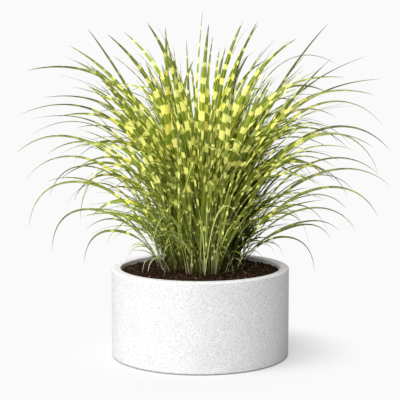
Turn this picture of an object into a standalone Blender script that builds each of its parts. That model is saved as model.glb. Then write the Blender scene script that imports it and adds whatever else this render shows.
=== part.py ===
"""Potted clump of banded ornamental grass: a low stone cylinder, its soil and the leafy shoots.

The frame is in metres with +Z up. Its origin is the centre of the pot's underside, and -Y is the
front of the clump. Every shoot is one grown piece: a stem with up to three long blades on it.
"""

import math
import random

import bmesh
import bpy
from mathutils import Vector
from mathutils.bvhtree import BVHTree

# ---- driving dimensions, in metres -------------------------------------------------------------

GAP = 0.0003
WELD = 0.00001
TURN_STEPS = 40

POT_RADIUS = 0.200
POT_HEIGHT = 0.200
POT_WALL = 0.0214
POT_FLOOR = 0.024
RIM_ROUND = 0.0035
FOOT_ROUND = 0.0025
HOLLOW_ROUND = 0.010

SOIL_AT_WALL = 0.187
SOIL_TOP = 0.196
SOIL_SHOULDER = 0.150
CROWN_RADIUS = 0.112

STEM_RADIUS = 0.0032
STEM_TIP_RADIUS = 0.0018
STEM_FOOT = 0.004
STEM_SHARE = 0.24
# Where the top blade leaves the stem, and how much lower the next one does, as shares of the stem.
TOP_BLADE_UP = 0.94
BLADE_SPACING = 0.28
# A blade leans out at least this much for its height, so that it never stands quite upright.
LEAST_LEAN = 0.03
# How far a drooping blade's outer part is arched beyond a plain parabola, and the most of that.
OUTER_ARCH = 8.0
MOST_ARCH = 0.85
# Blades start this far beside the stem's axis, so that no blade face lies along a stem edge.
OFF_AXIS = Vector((0.0005, -0.0004, 0.0))
BLADE_POINTS = 8
# The keel's depth as a share of half the blade's width, the widths of its foot and its tip as
# shares of the whole, where along it is widest, and the power by which it then narrows.
BLADE_KEEL = 0.17
BLADE_FOOT_SHARE = 0.30
BLADE_TIP_SHARE = 0.05
BLADE_WIDEST = 0.40
BLADE_TAPER = 1.7

# Two shoots are clear of each other when their blades, made this much bigger, don't touch.
CLEARANCE = 0.0008
# Degrees that a blade is turned by when its own place is taken, tried in this order.
TURN_ASIDE = (0, 3, -3, 6, -6, 10, -10, 14, -14, 19, -19, 25, -25)

# The outline is given as it is seen from the front, at this distance and height.
VIEW_DISTANCE = 2.785
VIEW_HEIGHT = 0.688
CM = 0.01
MM = 0.001

# Shoots that make the outline, from the rim up. Each has its root (x, y) in centimetres, its turn
# in degrees out of the outline's plane (below zero is towards the front), and its blades: the bend
# (x, z) and the tip (x, z) in centimetres, and the width in millimetres.
LEFT_SHOOTS = (
    ((-9.0, -3.4), -38, ((-18.7, 28.1, -26.3, 20.8, 10), (-20.0, 30.8, -25.8, 28.2, 9))),
    ((-9.6, 1.0), 16, ((-23.0, 32.8, -33.5, 23.5, 11), (-21.0, 32.9, -24.7, 33.1, 9))),
    (
        (-8.2, -5.6),
        -18,
        (
            (-28.1, 39.2, -38.6, 28.9, 12),
            (-26.1, 38.2, -29.9, 34.2, 8),
            (-22.3, 41.4, -27.0, 30.4, 9),
        ),
    ),
    ((-8.0, 4.6), 24, ((-25.4, 42.7, -33.9, 36.0, 11), (-28.1, 40.1, -34.4, 39.2, 9))),
    ((-7.6, -1.2), -5, ((-29.0, 44.9, -39.0, 39.8, 13), (-28.1, 48.1, -34.1, 45.5, 11))),
    ((-6.9, 2.2), 9, ((-31.2, 49.5, -41.3, 45.5, 13), (-26.8, 52.6, -37.3, 49.9, 12))),
    ((-6.2, -5.8), -24, ((-29.0, 53.9, -37.5, 53.2, 12), (-26.0, 58.0, -34.8, 58.0, 12))),
    ((-5.7, -2.8), -11, ((-28.0, 56.3, -40.0, 54.3, 13), (-23.0, 59.0, -28.5, 60.4, 12))),
    ((-5.2, 0.4), 4, ((-28.2, 64.6, -38.4, 64.0, 14), (-24.5, 61.0, -31.2, 63.0, 13))),
    ((-5.4, 5.8), 30, ((-20.9, 63.7, -29.2, 69.6, 15), (-24.5, 64.3, -28.5, 66.5, 10))),
    ((-1.8, -4.4), -44, ((-18.6, 63.9, -25.0, 73.3, 17), (-14.8, 66.4, -20.5, 72.0, 16))),
    ((-0.9, 3.4), 48, ((-9.0, 64.2, -17.0, 72.5, 16), (-8.9, 62.4, -13.9, 67.9, 13))),
    ((-0.4, -2.6), -62, ((-7.0, 67.0, -12.0, 74.7, 17), (-5.3, 67.2, -9.8, 73.9, 12))),
)
RIGHT_SHOOTS = (
    ((9.6, -0.4), -22, ((17.6, 26.6, 25.8, 18.8, 11), (14.9, 25.5, 18.7, 22.2, 7))),
    ((8.2, -6.0), -42, ((21.3, 34.0, 28.7, 28.2, 12), (19.6, 32.0, 24.5, 24.6, 10))),
    ((8.9, 3.6), 28, ((23.6, 30.2, 31.4, 28.0, 9), (21.6, 29.3, 29.4, 26.2, 9))),
    ((8.5, -3.0), -14, ((28.9, 38.0, 39.9, 31.5, 12), (25.6, 33.3, 35.0, 28.2, 10))),
    ((7.5, 5.6), 27, ((27.6, 40.7, 34.3, 37.3, 11), (28.5, 36.0, 32.8, 32.9, 8))),
    ((7.8, 1.4), 5, ((32.3, 42.1, 42.6, 38.2, 13), (30.3, 44.6, 39.7, 41.1, 11))),
    (
        (6.6, -5.6),
        -22,
        (
            (31.4, 49.8, 39.9, 41.0, 10),
            (29.8, 47.3, 34.1, 46.4, 11),
            (24.9, 44.8, 30.3, 42.4, 9),
        ),
    ),
    ((6.6, -1.4), -6, ((33.4, 51.5, 42.4, 46.2, 13), (31.6, 49.8, 38.8, 46.8, 11))),
    ((6.0, 3.8), 17, ((32.5, 57.0, 40.8, 51.7, 13), (26.6, 55.2, 30.3, 53.5, 9))),
    ((4.8, -4.6), -27, ((23.2, 61.9, 32.1, 62.5, 12), (33.0, 59.6, 38.6, 58.6, 12))),
    ((5.0, 0.8), 8, ((26.2, 62.1, 37.0, 67.2, 15), (28.4, 59.7, 39.7, 62.1, 12))),
    ((3.8, 4.6), 38, ((21.5, 65.9, 28.2, 74.3, 17), (23.8, 67.4, 29.6, 65.6, 12))),
    ((3.4, -2.2), -46, ((13.0, 65.0, 21.3, 71.0, 15), (14.2, 65.2, 19.7, 70.6, 14))),
    ((1.0, 2.0), 58, ((8.8, 66.9, 12.6, 74.8, 17), (9.0, 66.1, 11.7, 68.0, 9))),
    ((1.0, -5.0), -66, ((5.5, 67.4, 9.4, 74.7, 17), (3.4, 64.0, 5.6, 69.2, 14))),
    ((-1.6, 0.2), 80, ((-1.4, 66.5, 0.6, 77.7, 17), (0.4, 61.0, 1.4, 66.5, 13))),
)

# Degrees between the headings of one outline shoot's blades.
BLADE_FAN = 7

# The other shoots face the front and the back. They repeat the outline's blades, turned about
# the pot's axis: low ones on the outside of the crown, upright ones in the middle.
FACING_SHOOTS = 25
FACING_SEED = 11
FACING_HALF_ANGLE = 58
FACING_FAN = 12
FACING_BLADES = 2
FRONT_LOWEST_BEND = 0.47
BACK_LOWEST_BEND = 0.36
UPRIGHT_TIP_HEIGHT = 0.66
UPRIGHT_TIP_REACH = 0.24
REACH_SPREAD = (0.93, 1.03)
HEIGHT_SPREAD = (0.97, 1.01)
ROOT_SPACING = 0.0150
ROOT_RADIUS = 0.101
ROOT_CANDIDATES = 160
GOLDEN_ANGLE = math.radians(137.508)


# ---- helpers -----------------------------------------------------------------------------------


def clear_objects():
    """Remove the objects that the file opened with."""
    for thing in list(bpy.data.objects):
        bpy.data.objects.remove(thing, do_unlink=True)


def new_collection(name):
    """A collection linked to the scene."""
    group = bpy.data.collections.new(name)
    bpy.context.scene.collection.children.link(group)
    return group


def new_material(name, colour, roughness, metallic=0.0):
    """A Principled material of one colour."""
    made = bpy.data.materials.new(name)
    made.use_nodes = True
    shader = made.node_tree.nodes["Principled BSDF"]
    shader.inputs["Base Color"].default_value = (*colour, 1.0)
    shader.inputs["Roughness"].default_value = roughness
    shader.inputs["Metallic"].default_value = metallic
    made.diffuse_color = (*colour, 1.0)
    return made


def arc(centre, radius, start, end, steps):
    """Points (x, z) along an arc, from start to end in degrees, both ends included."""
    points = []
    for step in range(steps + 1):
        angle = math.radians(start + (end - start) * step / steps)
        points.append((centre[0] + radius * math.cos(angle), centre[1] + radius * math.sin(angle)))
    return points


def turned(name, profile, group, material):
    """A body of revolution: the profile (x, z) turned about the Z axis by a Screw modifier."""
    mesh = bpy.data.meshes.new(name)
    corners = [(x, 0.0, z) for x, z in profile]
    edges = [(i, i + 1) for i in range(len(corners) - 1)]
    mesh.from_pydata(corners, edges, [])
    body = bpy.data.objects.new(name, mesh)
    group.objects.link(body)
    screw = body.modifiers.new("turn", "SCREW")
    screw.axis = "Z"
    screw.angle = math.tau
    screw.steps = TURN_STEPS
    screw.render_steps = TURN_STEPS
    screw.use_merge_vertices = True
    screw.merge_threshold = WELD
    screw.use_smooth_shade = True
    mesh.materials.append(material)
    return body


def mesh_of(curve_object):
    """The curve object as a closed mesh with its caps welded; the curve is removed."""
    bpy.context.view_layer.update()
    evaluated = curve_object.evaluated_get(bpy.context.evaluated_depsgraph_get())
    mesh = bpy.data.meshes.new_from_object(evaluated)
    mesh.transform(curve_object.matrix_world)
    work = bmesh.new()
    work.from_mesh(mesh)
    bmesh.ops.remove_doubles(work, verts=work.verts, dist=WELD)
    bmesh.ops.triangulate(work, faces=work.faces)
    bmesh.ops.recalc_face_normals(work, faces=work.faces)
    work.to_mesh(mesh)
    work.free()
    data = curve_object.data
    bpy.data.objects.remove(curve_object, do_unlink=True)
    bpy.data.curves.remove(data)
    return mesh


def swept(name, line, radii, group, section=None):
    """A tube, or the section if one is given, carried along a line of points."""
    data = bpy.data.curves.new(name, "CURVE")
    data.dimensions = "3D"
    data.use_fill_caps = True
    if section is None:
        data.twist_mode = "MINIMUM"
        data.bevel_depth = 1.0
        data.bevel_resolution = 1
    else:
        data.twist_mode = "Z_UP"
        data.bevel_mode = "OBJECT"
        data.bevel_object = section
    spline = data.splines.new("POLY")
    spline.points.add(len(line) - 1)
    for point, place, radius in zip(spline.points, line, radii):
        point.co = (*place, 1.0)
        point.radius = radius
    made = bpy.data.objects.new(name, data)
    group.objects.link(made)
    return mesh_of(made)


# ---- pot and soil ------------------------------------------------------------------------------


def make_pot(group, material):
    """The pot: a plain thick-walled cylinder with a flat floor and softly rounded edges."""
    inner = POT_RADIUS - POT_WALL
    profile = [(0.0, POT_FLOOR)]
    profile += arc((inner - HOLLOW_ROUND, POT_FLOOR + HOLLOW_ROUND), HOLLOW_ROUND, -90, 0, 1)
    profile += arc((inner + RIM_ROUND, POT_HEIGHT - RIM_ROUND), RIM_ROUND, 180, 90, 2)
    profile += arc((POT_RADIUS - RIM_ROUND, POT_HEIGHT - RIM_ROUND), RIM_ROUND, 90, 0, 3)
    profile += arc((POT_RADIUS - FOOT_ROUND, FOOT_ROUND), FOOT_ROUND, 0, -90, 2)
    profile.append((0.0, 0.0))
    return turned("pot", profile, group, material)


def make_soil(group, material):
    """The soil: it fills the pot to just under the rim and rises gently to the crown."""
    inner = POT_RADIUS - POT_WALL - GAP
    floor = POT_FLOOR + GAP
    profile = [(0.0, SOIL_TOP), (CROWN_RADIUS, SOIL_TOP)]
    profile.append((SOIL_SHOULDER, (SOIL_TOP + 2 * SOIL_AT_WALL) / 3))
    profile.append((inner, SOIL_AT_WALL))
    profile += arc((inner - HOLLOW_ROUND, floor + HOLLOW_ROUND), HOLLOW_ROUND, 0, -90, 1)
    profile.append((0.0, floor))
    return turned("soil", profile, group, material)


# ---- how a shoot grows -------------------------------------------------------------------------


def blade_line(root, foot, heading, bend, tip):
    """The blade's centre line: a parabola from its foot through the bend to the tip, with an arch.

    It lies in the upright plane through the foot. The bend and the tip are (reach from the root,
    height), and the bend comes at the share of the way that its distances from foot and tip give.
    Where the tip hangs below the bend, the arch t^2 (1 - t) (t - share) straightens the lower part
    and rounds the outer one, as a blade's own weight does, and it stops short of turning the tip in.
    """
    ahead = Vector((math.cos(heading), math.sin(heading)))
    gone = (foot - root).xy.dot(ahead)
    start = Vector((0.0, foot.z))
    middle = Vector((bend[0] - gone, bend[1]))
    end = Vector((tip[0] - gone, tip[1]))
    before = (middle - start).length
    share = before / (before + (end - middle).length)
    pull = (middle - start * (1 - share) ** 2 - end * share**2) / (2 * share * (1 - share))
    pull.x = max(pull.x, LEAST_LEAN * (pull.y - start.y))
    end.x = max(end.x, pull.x + LEAST_LEAN * (end.y - pull.y))
    drop = max(middle.y - end.y, 0.0)
    arch = OUTER_ARCH * drop / (end - middle).length
    if drop > 0:
        arch = min(arch, MOST_ARCH * 2 * max(end.x - pull.x, 0.0) / ((1 - share) * drop))
    beyond = Vector((middle.y - end.y, end.x - middle.x)) * arch
    line = []
    for step in range(BLADE_POINTS):
        along = step / (BLADE_POINTS - 1)
        spot = start * (1 - along) ** 2 + pull * (2 * along * (1 - along)) + end * along**2
        spot += beyond * (along**2 * (1 - along) * (along - share))
        line.append(Vector((foot.x + spot.x * ahead.x, foot.y + spot.x * ahead.y, spot.y)))
    return line


def blade_width_share(along):
    """How wide a blade is at a share of its length: a narrow foot, a wide middle, a fine tip."""
    if along < BLADE_WIDEST:
        rise = math.sin(along / BLADE_WIDEST * math.pi / 2)
        return BLADE_FOOT_SHARE + (1 - BLADE_FOOT_SHARE) * rise
    fall = ((along - BLADE_WIDEST) / (1 - BLADE_WIDEST)) ** BLADE_TAPER
    return max(1 - fall, BLADE_TIP_SHARE)


def blade_radii(width):
    """Half the blade's width at each of its points."""
    last = BLADE_POINTS - 1
    return [width / 2 * blade_width_share(step / last) for step in range(BLADE_POINTS)]


def fat_tree(line, radii, keel_share):
    """A search tree of the swept shape made bigger by the clearance, to find what it touches."""
    corners = []
    for step, place in enumerate(line):
        ahead = line[min(step + 1, len(line) - 1)] - line[max(step - 1, 0)]
        side = ahead.cross(Vector((0, 0, 1)))
        side = side.normalized() if side.length > 0 else Vector((1, 0, 0))
        above = side.cross(ahead).normalized()
        half = radii[step] + CLEARANCE
        thick = radii[step] * keel_share + CLEARANCE
        side, above = side * half, above * thick
        corners += [place - side, place + above, place + side, place - above]
    faces = []
    for step in range(len(line) - 1):
        for edge in range(4):
            here = step * 4 + edge
            beside = step * 4 + (edge + 1) % 4
            faces.append((here, beside, beside + 4, here + 4))
    return BVHTree.FromPolygons(corners, faces)


def is_free(tree, others):
    """Whether the shape touches none of the others."""
    return not any(tree.overlap(other) for other in others)


def seen_from_front(root, heading, x, z):
    """The place on a vertical plane through the root that is seen at (x, z) from the front."""
    scale = x / VIEW_DISTANCE
    reach = (x + scale * root.y - root.x) / (math.cos(heading) - scale * math.sin(heading))
    depth = root.y + reach * math.sin(heading)
    height = VIEW_HEIGHT + (z - VIEW_HEIGHT) * (1 + depth / VIEW_DISTANCE)
    return reach, height


def blade_form(root, heading, bend, tip, as_seen):
    """The bend and the tip as (reach, height), worked out for this heading if given as seen."""
    if as_seen:
        return seen_from_front(root, heading, *bend), seen_from_front(root, heading, *tip)
    return bend, tip


def outline_shoots():
    """The outline's shoots: the root, and each blade's heading, bend, tip and width, as seen."""
    shoots = []
    for rows, outward in ((LEFT_SHOOTS, math.pi), (RIGHT_SHOOTS, 0.0)):
        for (x, y), turn, blades in rows:
            root = Vector((x * CM, y * CM, SOIL_TOP + GAP))
            grown = []
            for number, (bend_x, bend_z, tip_x, tip_z, width) in enumerate(blades):
                aside = math.radians(turn + (number - 0.5) * math.copysign(BLADE_FAN, turn))
                heading = outward + (aside if outward == 0.0 else -aside)
                bend = (bend_x * CM, bend_z * CM)
                grown.append((heading, bend, (tip_x * CM, tip_z * CM), width * MM))
            shoots.append((root, grown))
    return shoots


def free_roots(taken, count):
    """Roots on a sunflower spiral over the crown, each clear of the ones already there."""
    roots = []
    for number in range(ROOT_CANDIDATES):
        radius = ROOT_RADIUS * math.sqrt((number + 0.5) / ROOT_CANDIDATES)
        angle = number * GOLDEN_ANGLE
        root = Vector((radius * math.cos(angle), radius * math.sin(angle), SOIL_TOP + GAP))
        if all((root - other).length > ROOT_SPACING for other in taken + roots):
            roots.append(root)
    step = len(roots) / count
    return [roots[int(number * step)] for number in range(count)]


def outline_forms(outline):
    """The outline's blades as (bend, tip, width), low ones first, each end as (reach, height)."""
    forms = []
    for root, blades in outline:
        for heading, bend, tip, width in blades:
            forms.append((*blade_form(root, heading, bend, tip, True), width))
    return sorted(forms, key=lambda form: form[0][1])


def is_upright(form):
    """Whether a blade's tip is high and not far out."""
    reach, height = form[1]
    return height > UPRIGHT_TIP_HEIGHT and reach < UPRIGHT_TIP_REACH


def facing_shoots(outline):
    """Shoots that face the front and the back, with the outline's blades turned to them."""
    draw = random.Random(FACING_SEED)
    forms = outline_forms(outline)
    upright = [form for form in forms if is_upright(form)]
    shoots = []
    for root in free_roots([root for root, _ in outline], FACING_SHOOTS):
        outness = root.xy.length / ROOT_RADIUS
        facing = math.copysign(math.pi / 2, root.y)
        lowest = FRONT_LOWEST_BEND if root.y < 0 else BACK_LOWEST_BEND
        arching = [form for form in forms if form[0][1] > lowest and not is_upright(form)]
        arching = arching[int(len(arching) * (1 - outness) / 2) :]
        turn = math.radians(FACING_HALF_ANGLE) * draw.uniform(-1, 1)
        blades = []
        for _ in range(FACING_BLADES):
            bend, tip, width = draw.choice(arching if draw.random() < outness else upright)
            heading = facing + turn + math.radians(draw.uniform(-FACING_FAN, FACING_FAN))
            grow = draw.uniform(*REACH_SPREAD)
            rise = draw.uniform(*HEIGHT_SPREAD)
            bend = (bend[0] * grow, bend[1] * rise)
            tip = (tip[0] * grow, tip[1] * rise)
            blades.append((heading, bend, tip, width))
        shoots.append((root, blades))
    return shoots


def stem_line(root, blades, as_seen):
    """The stem: up out of the soil, then straight the way that its blades first go."""
    way = Vector((0, 0, 0))
    rise = 0.0
    for heading, bend, tip, _ in blades:
        bend, tip = blade_form(root, heading, bend, tip, as_seen)
        line = blade_line(root, root, heading, bend, tip)
        way += (line[1] - line[0]).normalized()
        rise += bend[1] - root.z
    height = STEM_SHARE * rise / len(blades)
    foot = root + Vector((0, 0, STEM_FOOT))
    return [root, foot, foot + way * (height / way.z)]


def grow_shoot(root, blades, as_seen, others):
    """The stem's line and each free blade's line and half widths, and their search trees."""
    stem = stem_line(root, blades, as_seen)
    stem_radii = [STEM_RADIUS, STEM_RADIUS, STEM_TIP_RADIUS]
    trees = [fat_tree(stem, stem_radii, 1.0)]
    grown = []
    for number, (heading, bend, tip, width) in enumerate(blades):
        foot = stem[1].lerp(stem[2], TOP_BLADE_UP - number * BLADE_SPACING) + OFF_AXIS
        radii = blade_radii(width)
        for aside in TURN_ASIDE:
            turned_to = heading + math.radians(aside)
            form = blade_form(root, turned_to, bend, tip, as_seen)
            line = blade_line(root, foot, turned_to, *form)
            tree = fat_tree(line, radii, BLADE_KEEL)
            if is_free(tree, others):
                grown.append((line, radii))
                trees.append(tree)
                break
    return stem, stem_radii, grown, trees


# ---- shoots as solids --------------------------------------------------------------------------


def blade_section(group):
    """A blade's section, one unit to each side: flat above with a keel below."""
    data = bpy.data.curves.new("blade_section", "CURVE")
    data.dimensions = "2D"
    data.fill_mode = "NONE"
    spline = data.splines.new("POLY")
    spline.points.add(2)
    for point, place in zip(spline.points, ((-1, 0), (0, -BLADE_KEEL), (1, 0))):
        point.co = (*place, 0.0, 1.0)
    spline.use_cyclic_u = True
    section = bpy.data.objects.new("blade_section", data)
    section.hide_render = True
    section.display_type = "WIRE"
    group.objects.link(section)
    return section


def joined(name, meshes, group, cutters, material):
    """The meshes joined into one closed body by Boolean unions."""
    body = bpy.data.objects.new(name, meshes[0])
    group.objects.link(body)
    for mesh in meshes[1:]:
        added = bpy.data.objects.new(name + "_blade", mesh)
        added.hide_render = True
        added.display_type = "WIRE"
        cutters.objects.link(added)
        union = body.modifiers.new("join", "BOOLEAN")
        union.operation = "UNION"
        union.solver = "EXACT"
        union.object = added
    body.data.materials.append(material)
    return body


def make_shoots(group, cutters, material):
    """All shoots, each one body, none touching another."""
    section = blade_section(cutters)
    outline = outline_shoots()
    others = []
    count = 0
    planned = [(root, blades, True) for root, blades in outline]
    planned += [(root, blades, False) for root, blades in facing_shoots(outline)]
    for root, blades, as_seen in planned:
        stem, stem_radii, grown, trees = grow_shoot(root, blades, as_seen, others)
        if not grown or not is_free(trees[0], others):
            continue
        others += trees
        count += 1
        name = f"shoot_{count:02d}"
        meshes = [swept(name, stem, stem_radii, group)]
        meshes += [swept(name + "_blade", line, radii, cutters, section) for line, radii in grown]
        joined(name, meshes, group, cutters, material)


# ---- the whole part ----------------------------------------------------------------------------


def build():
    """Model the pot, the soil and the shoots."""
    clear_objects()
    group = new_collection("potted_grass_clump")
    cutters = new_collection("cutters")
    stone = new_material("pale_cast_stone", (0.78, 0.77, 0.75), 0.75)
    earth = new_material("dark_potting_soil", (0.035, 0.022, 0.014), 0.95)
    leaf = new_material("banded_green_leaf", (0.22, 0.34, 0.06), 0.5)
    make_pot(group, stone)
    make_soil(group, earth)
    make_shoots(group, cutters, leaf)


build()
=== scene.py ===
# %% [markdown]
# # A potted clump of banded ornamental grass
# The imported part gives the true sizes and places: a pot, its soil and some fifty shoots as plain
# solids. This lesson dresses them. Every new shape is a surface worked out with numpy from a few
# real sizes, and every finish is a small tree of shader nodes.

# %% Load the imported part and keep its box
import math
import random

import bmesh
import bpy
import numpy as np
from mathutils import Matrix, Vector


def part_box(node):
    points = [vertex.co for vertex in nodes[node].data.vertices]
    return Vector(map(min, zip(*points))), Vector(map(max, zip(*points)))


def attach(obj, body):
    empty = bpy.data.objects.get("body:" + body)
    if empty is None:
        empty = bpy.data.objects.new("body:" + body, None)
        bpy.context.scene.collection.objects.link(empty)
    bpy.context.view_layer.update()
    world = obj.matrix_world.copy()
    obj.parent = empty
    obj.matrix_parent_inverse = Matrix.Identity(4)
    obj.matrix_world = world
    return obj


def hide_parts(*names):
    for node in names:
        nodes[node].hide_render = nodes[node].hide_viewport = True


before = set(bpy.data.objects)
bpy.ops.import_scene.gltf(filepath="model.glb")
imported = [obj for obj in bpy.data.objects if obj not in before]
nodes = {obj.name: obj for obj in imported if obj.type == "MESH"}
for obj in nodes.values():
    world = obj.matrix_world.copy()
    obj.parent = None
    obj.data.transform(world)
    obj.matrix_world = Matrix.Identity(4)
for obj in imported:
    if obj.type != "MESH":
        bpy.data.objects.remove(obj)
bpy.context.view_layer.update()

# %% [markdown]
# ## The camera
# A lens of 112 mm nearly three metres away shows the pot's rim as a flat ellipse with hardly any
# perspective, as a product photographer would. The numbers come from fitting the rim and the foot
# of the pot: how wide and how round each ellipse looks gives the distance, the height and the lens.

# %% Set up the camera
VIEW_DISTANCE = 2.785
VIEW_HEIGHT = 0.688
VIEW_DOWN = 6.9
VIEW_SIDE = -0.0005
SENSOR = 36.0
LENS = 112.5

lens = bpy.data.cameras.new("camera")
lens.sensor_width = SENSOR
lens.lens = LENS
camera = bpy.data.objects.new("camera", lens)
camera.location = (VIEW_SIDE, -VIEW_DISTANCE, VIEW_HEIGHT)
camera.rotation_euler = (math.radians(90 - VIEW_DOWN), 0, 0)
bpy.context.scene.collection.objects.link(camera)
bpy.context.scene.camera = camera
print("camera at", tuple(camera.location))

# %% [markdown]
# ## Small tools for shader trees
# A finish is a chain of nodes. Writing each link by hand buries the idea, so these helpers make a
# node, set its sockets by name and hand back an output that the next node can take.

# %% Helpers for shader nodes
# Nearly all values of a noise fall in this range.
MOST_NOISE = (0.3, 0.7)


def new_finish(name):
    """A material with an empty tree, and the Principled shader that it ends in."""
    finish = bpy.data.materials.new(name)
    finish.use_nodes = True
    tree = finish.node_tree
    tree.nodes.clear()
    out = tree.nodes.new("ShaderNodeOutputMaterial")
    shader = tree.nodes.new("ShaderNodeBsdfPrincipled")
    tree.links.new(shader.outputs[0], out.inputs["Surface"])
    return finish, tree, shader


def put(tree, socket, value):
    """Set a socket to a number or a colour, or link an output to it."""
    if isinstance(value, bpy.types.NodeSocket):
        tree.links.new(value, socket)
    else:
        socket.default_value = value


def maths(tree, operation, first, second=0.0, third=None, clamp=False):
    """One Math node."""
    node = tree.nodes.new("ShaderNodeMath")
    node.operation = operation
    node.use_clamp = clamp
    put(tree, node.inputs[0], first)
    put(tree, node.inputs[1], second)
    if third is not None:
        put(tree, node.inputs[2], third)
    return node.outputs[0]


def times(tree, first, second, clamp=False):
    """The product of two numbers."""
    return maths(tree, "MULTIPLY", first, second, clamp=clamp)


def blend(tree, share, low, high):
    """Mix two colours by a share. A Mix node takes its colours at sockets 6 and 7."""
    node = tree.nodes.new("ShaderNodeMix")
    node.data_type = "RGBA"
    put(tree, node.inputs[0], share)
    for number, colour in ((6, low), (7, high)):
        linked = isinstance(colour, bpy.types.NodeSocket)
        put(tree, node.inputs[number], colour if linked else (*colour, 1.0))
    return node.outputs[2]


def spread(tree, value, low, high, to_low=0.0, to_high=1.0):
    """A smooth step: values from low to high become to_low to to_high."""
    node = tree.nodes.new("ShaderNodeMapRange")
    node.interpolation_type = "SMOOTHSTEP"
    for socket, number in zip(node.inputs, (value, low, high, to_low, to_high)):
        put(tree, socket, number)
    return node.outputs[0]


def attribute(tree, name):
    """A number stored at each point of the mesh."""
    node = tree.nodes.new("ShaderNodeAttribute")
    node.attribute_name = name
    return node.outputs["Fac"]


def placed(tree, scale=(1, 1, 1)):
    """The piece's own coordinates, stretched by a scale."""
    where = tree.nodes.new("ShaderNodeTexCoord")
    node = tree.nodes.new("ShaderNodeMapping")
    tree.links.new(where.outputs["Object"], node.inputs["Vector"])
    node.inputs["Scale"].default_value = scale
    return node.outputs[0]


def far(tree, scale):
    """How far a point is from the origin, with each axis counted by its scale."""
    node = tree.nodes.new("ShaderNodeVectorMath")
    node.operation = "LENGTH"
    tree.links.new(placed(tree, scale), node.inputs[0])
    return node.outputs["Value"]


def noise(tree, where, scale, detail=2.0, rough=0.5):
    """Soft random values about a half."""
    node = tree.nodes.new("ShaderNodeTexNoise")
    tree.links.new(where, node.inputs["Vector"])
    node.inputs["Scale"].default_value = scale
    node.inputs["Detail"].default_value = detail
    node.inputs["Roughness"].default_value = rough
    return node.outputs["Fac"]


def bump(tree, shader, height, depth, strength=1.0):
    """Tilt the shading by a height, in metres per unit."""
    node = tree.nodes.new("ShaderNodeBump")
    node.inputs["Strength"].default_value = strength
    node.inputs["Distance"].default_value = depth
    tree.links.new(height, node.inputs["Height"])
    tree.links.new(node.outputs[0], shader.inputs["Normal"])


# %% [markdown]
# ## Small tools for meshes
# A surface here is a grid of points: rows that run along it and columns that go round it. Numpy
# works out all points at once, and one helper turns any number of such grids into one mesh.


# %% Helpers for meshes
def grid_faces(rows, columns):
    """Quads of one grid whose columns close on themselves: (face, 4) point numbers."""
    row = np.arange(rows - 1)[:, None] * columns
    here = np.arange(columns)[None, :]
    beside = (here + 1) % columns
    low = (row + here, row + beside)
    high = (row + columns + beside, row + columns + here)
    return np.stack(low + high, axis=-1).reshape(-1, 4)


def repeat_faces(faces, count, points):
    """The same faces for each of many equal point sets."""
    return (np.arange(count)[:, None, None] * points + faces[None]).reshape(-1, faces.shape[1])


def make_mesh(name, points, face_groups, smooth=True):
    """A mesh object from points (n, 3) and arrays of faces of one size each."""
    sizes = np.concatenate([np.full(len(faces), faces.shape[1]) for faces in face_groups])
    corners = np.concatenate([faces.ravel() for faces in face_groups]).astype(np.int32)
    starts = np.concatenate(([0], np.cumsum(sizes)[:-1])).astype(np.int32)
    mesh = bpy.data.meshes.new(name)
    mesh.vertices.add(len(points))
    mesh.vertices.foreach_set("co", np.asarray(points, np.float32).ravel())
    mesh.loops.add(len(corners))
    mesh.loops.foreach_set("vertex_index", corners)
    mesh.polygons.add(len(sizes))
    mesh.polygons.foreach_set("loop_start", starts)
    mesh.polygons.foreach_set("use_smooth", np.full(len(sizes), smooth))
    mesh.update(calc_edges=True)
    mesh.validate()
    piece = bpy.data.objects.new(name, mesh)
    bpy.context.scene.collection.objects.link(piece)
    return piece


def give_values(piece, name, values):
    """Store one number for each point of a piece."""
    layer = piece.data.attributes.new(name, "FLOAT", "POINT")
    layer.data.foreach_set("value", np.asarray(values, np.float32).ravel())


def finished(piece, finish, slot, *replaced):
    """Give a piece its material and its body, and hide the solids that it stands for. The slot is not
    used.
    """
    piece.data.materials.append(finish)
    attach(piece, "root")
    if replaced:
        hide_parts(*replaced)
    return piece


def soft_noise(places, cell, seed):
    """Smooth random heights: random numbers on a square lattice, blended between its corners."""
    size = 128
    lattice = np.random.default_rng(seed).uniform(-1, 1, (size, size))
    scaled = places[..., :2] / cell + size / 2
    whole = np.floor(scaled).astype(int)
    part = scaled - whole
    part = part * part * (3 - 2 * part)
    x, y = whole[..., 0] % size, whole[..., 1] % size
    right, up = (x + 1) % size, (y + 1) % size
    low = lattice[x, y] * (1 - part[..., 0]) + lattice[right, y] * part[..., 0]
    high = lattice[x, up] * (1 - part[..., 0]) + lattice[right, up] * part[..., 0]
    return low * (1 - part[..., 1]) + high * part[..., 1]


# %% [markdown]
# ## The pot
# The pot is cast stone: cement with fine marble chips, ground smooth. Its shape is a profile turned
# about an axis, as a potter's rib or a lathe would make it. The solid part shows flat facets, so
# the finished shell repeats the same profile with many more steps, and its edges are arcs of a few
# millimetres, because a cast edge that is left sharp chips.

# %% Helpers for profiles turned about the axis
def arc(centre, radius, start, end, count):
    """Points (x, z) along an arc, from start to end in degrees."""
    angle = np.radians(np.linspace(start, end, count))
    return np.stack((np.cos(angle), np.sin(angle)), axis=1) * radius + np.array(centre)


def straight(start, end, count):
    """Points (x, z) evenly along a straight line, without its ends."""
    share = np.linspace(0, 1, count + 2)[1:-1, None]
    return np.array(start) * (1 - share) + np.array(end) * share


def turned(profile, steps):
    """A profile (x, z) turned about Z: point = (x cos a, x sin a, z), rows along the profile."""
    angle = np.linspace(0, math.tau, steps, endpoint=False)
    ring = np.stack((np.cos(angle), np.sin(angle)), axis=1)
    flat = profile[:, None, :1] * ring[None]
    height = np.repeat(profile[:, None, 1:], steps, axis=1)
    return np.concatenate((flat, height), axis=2)


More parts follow.
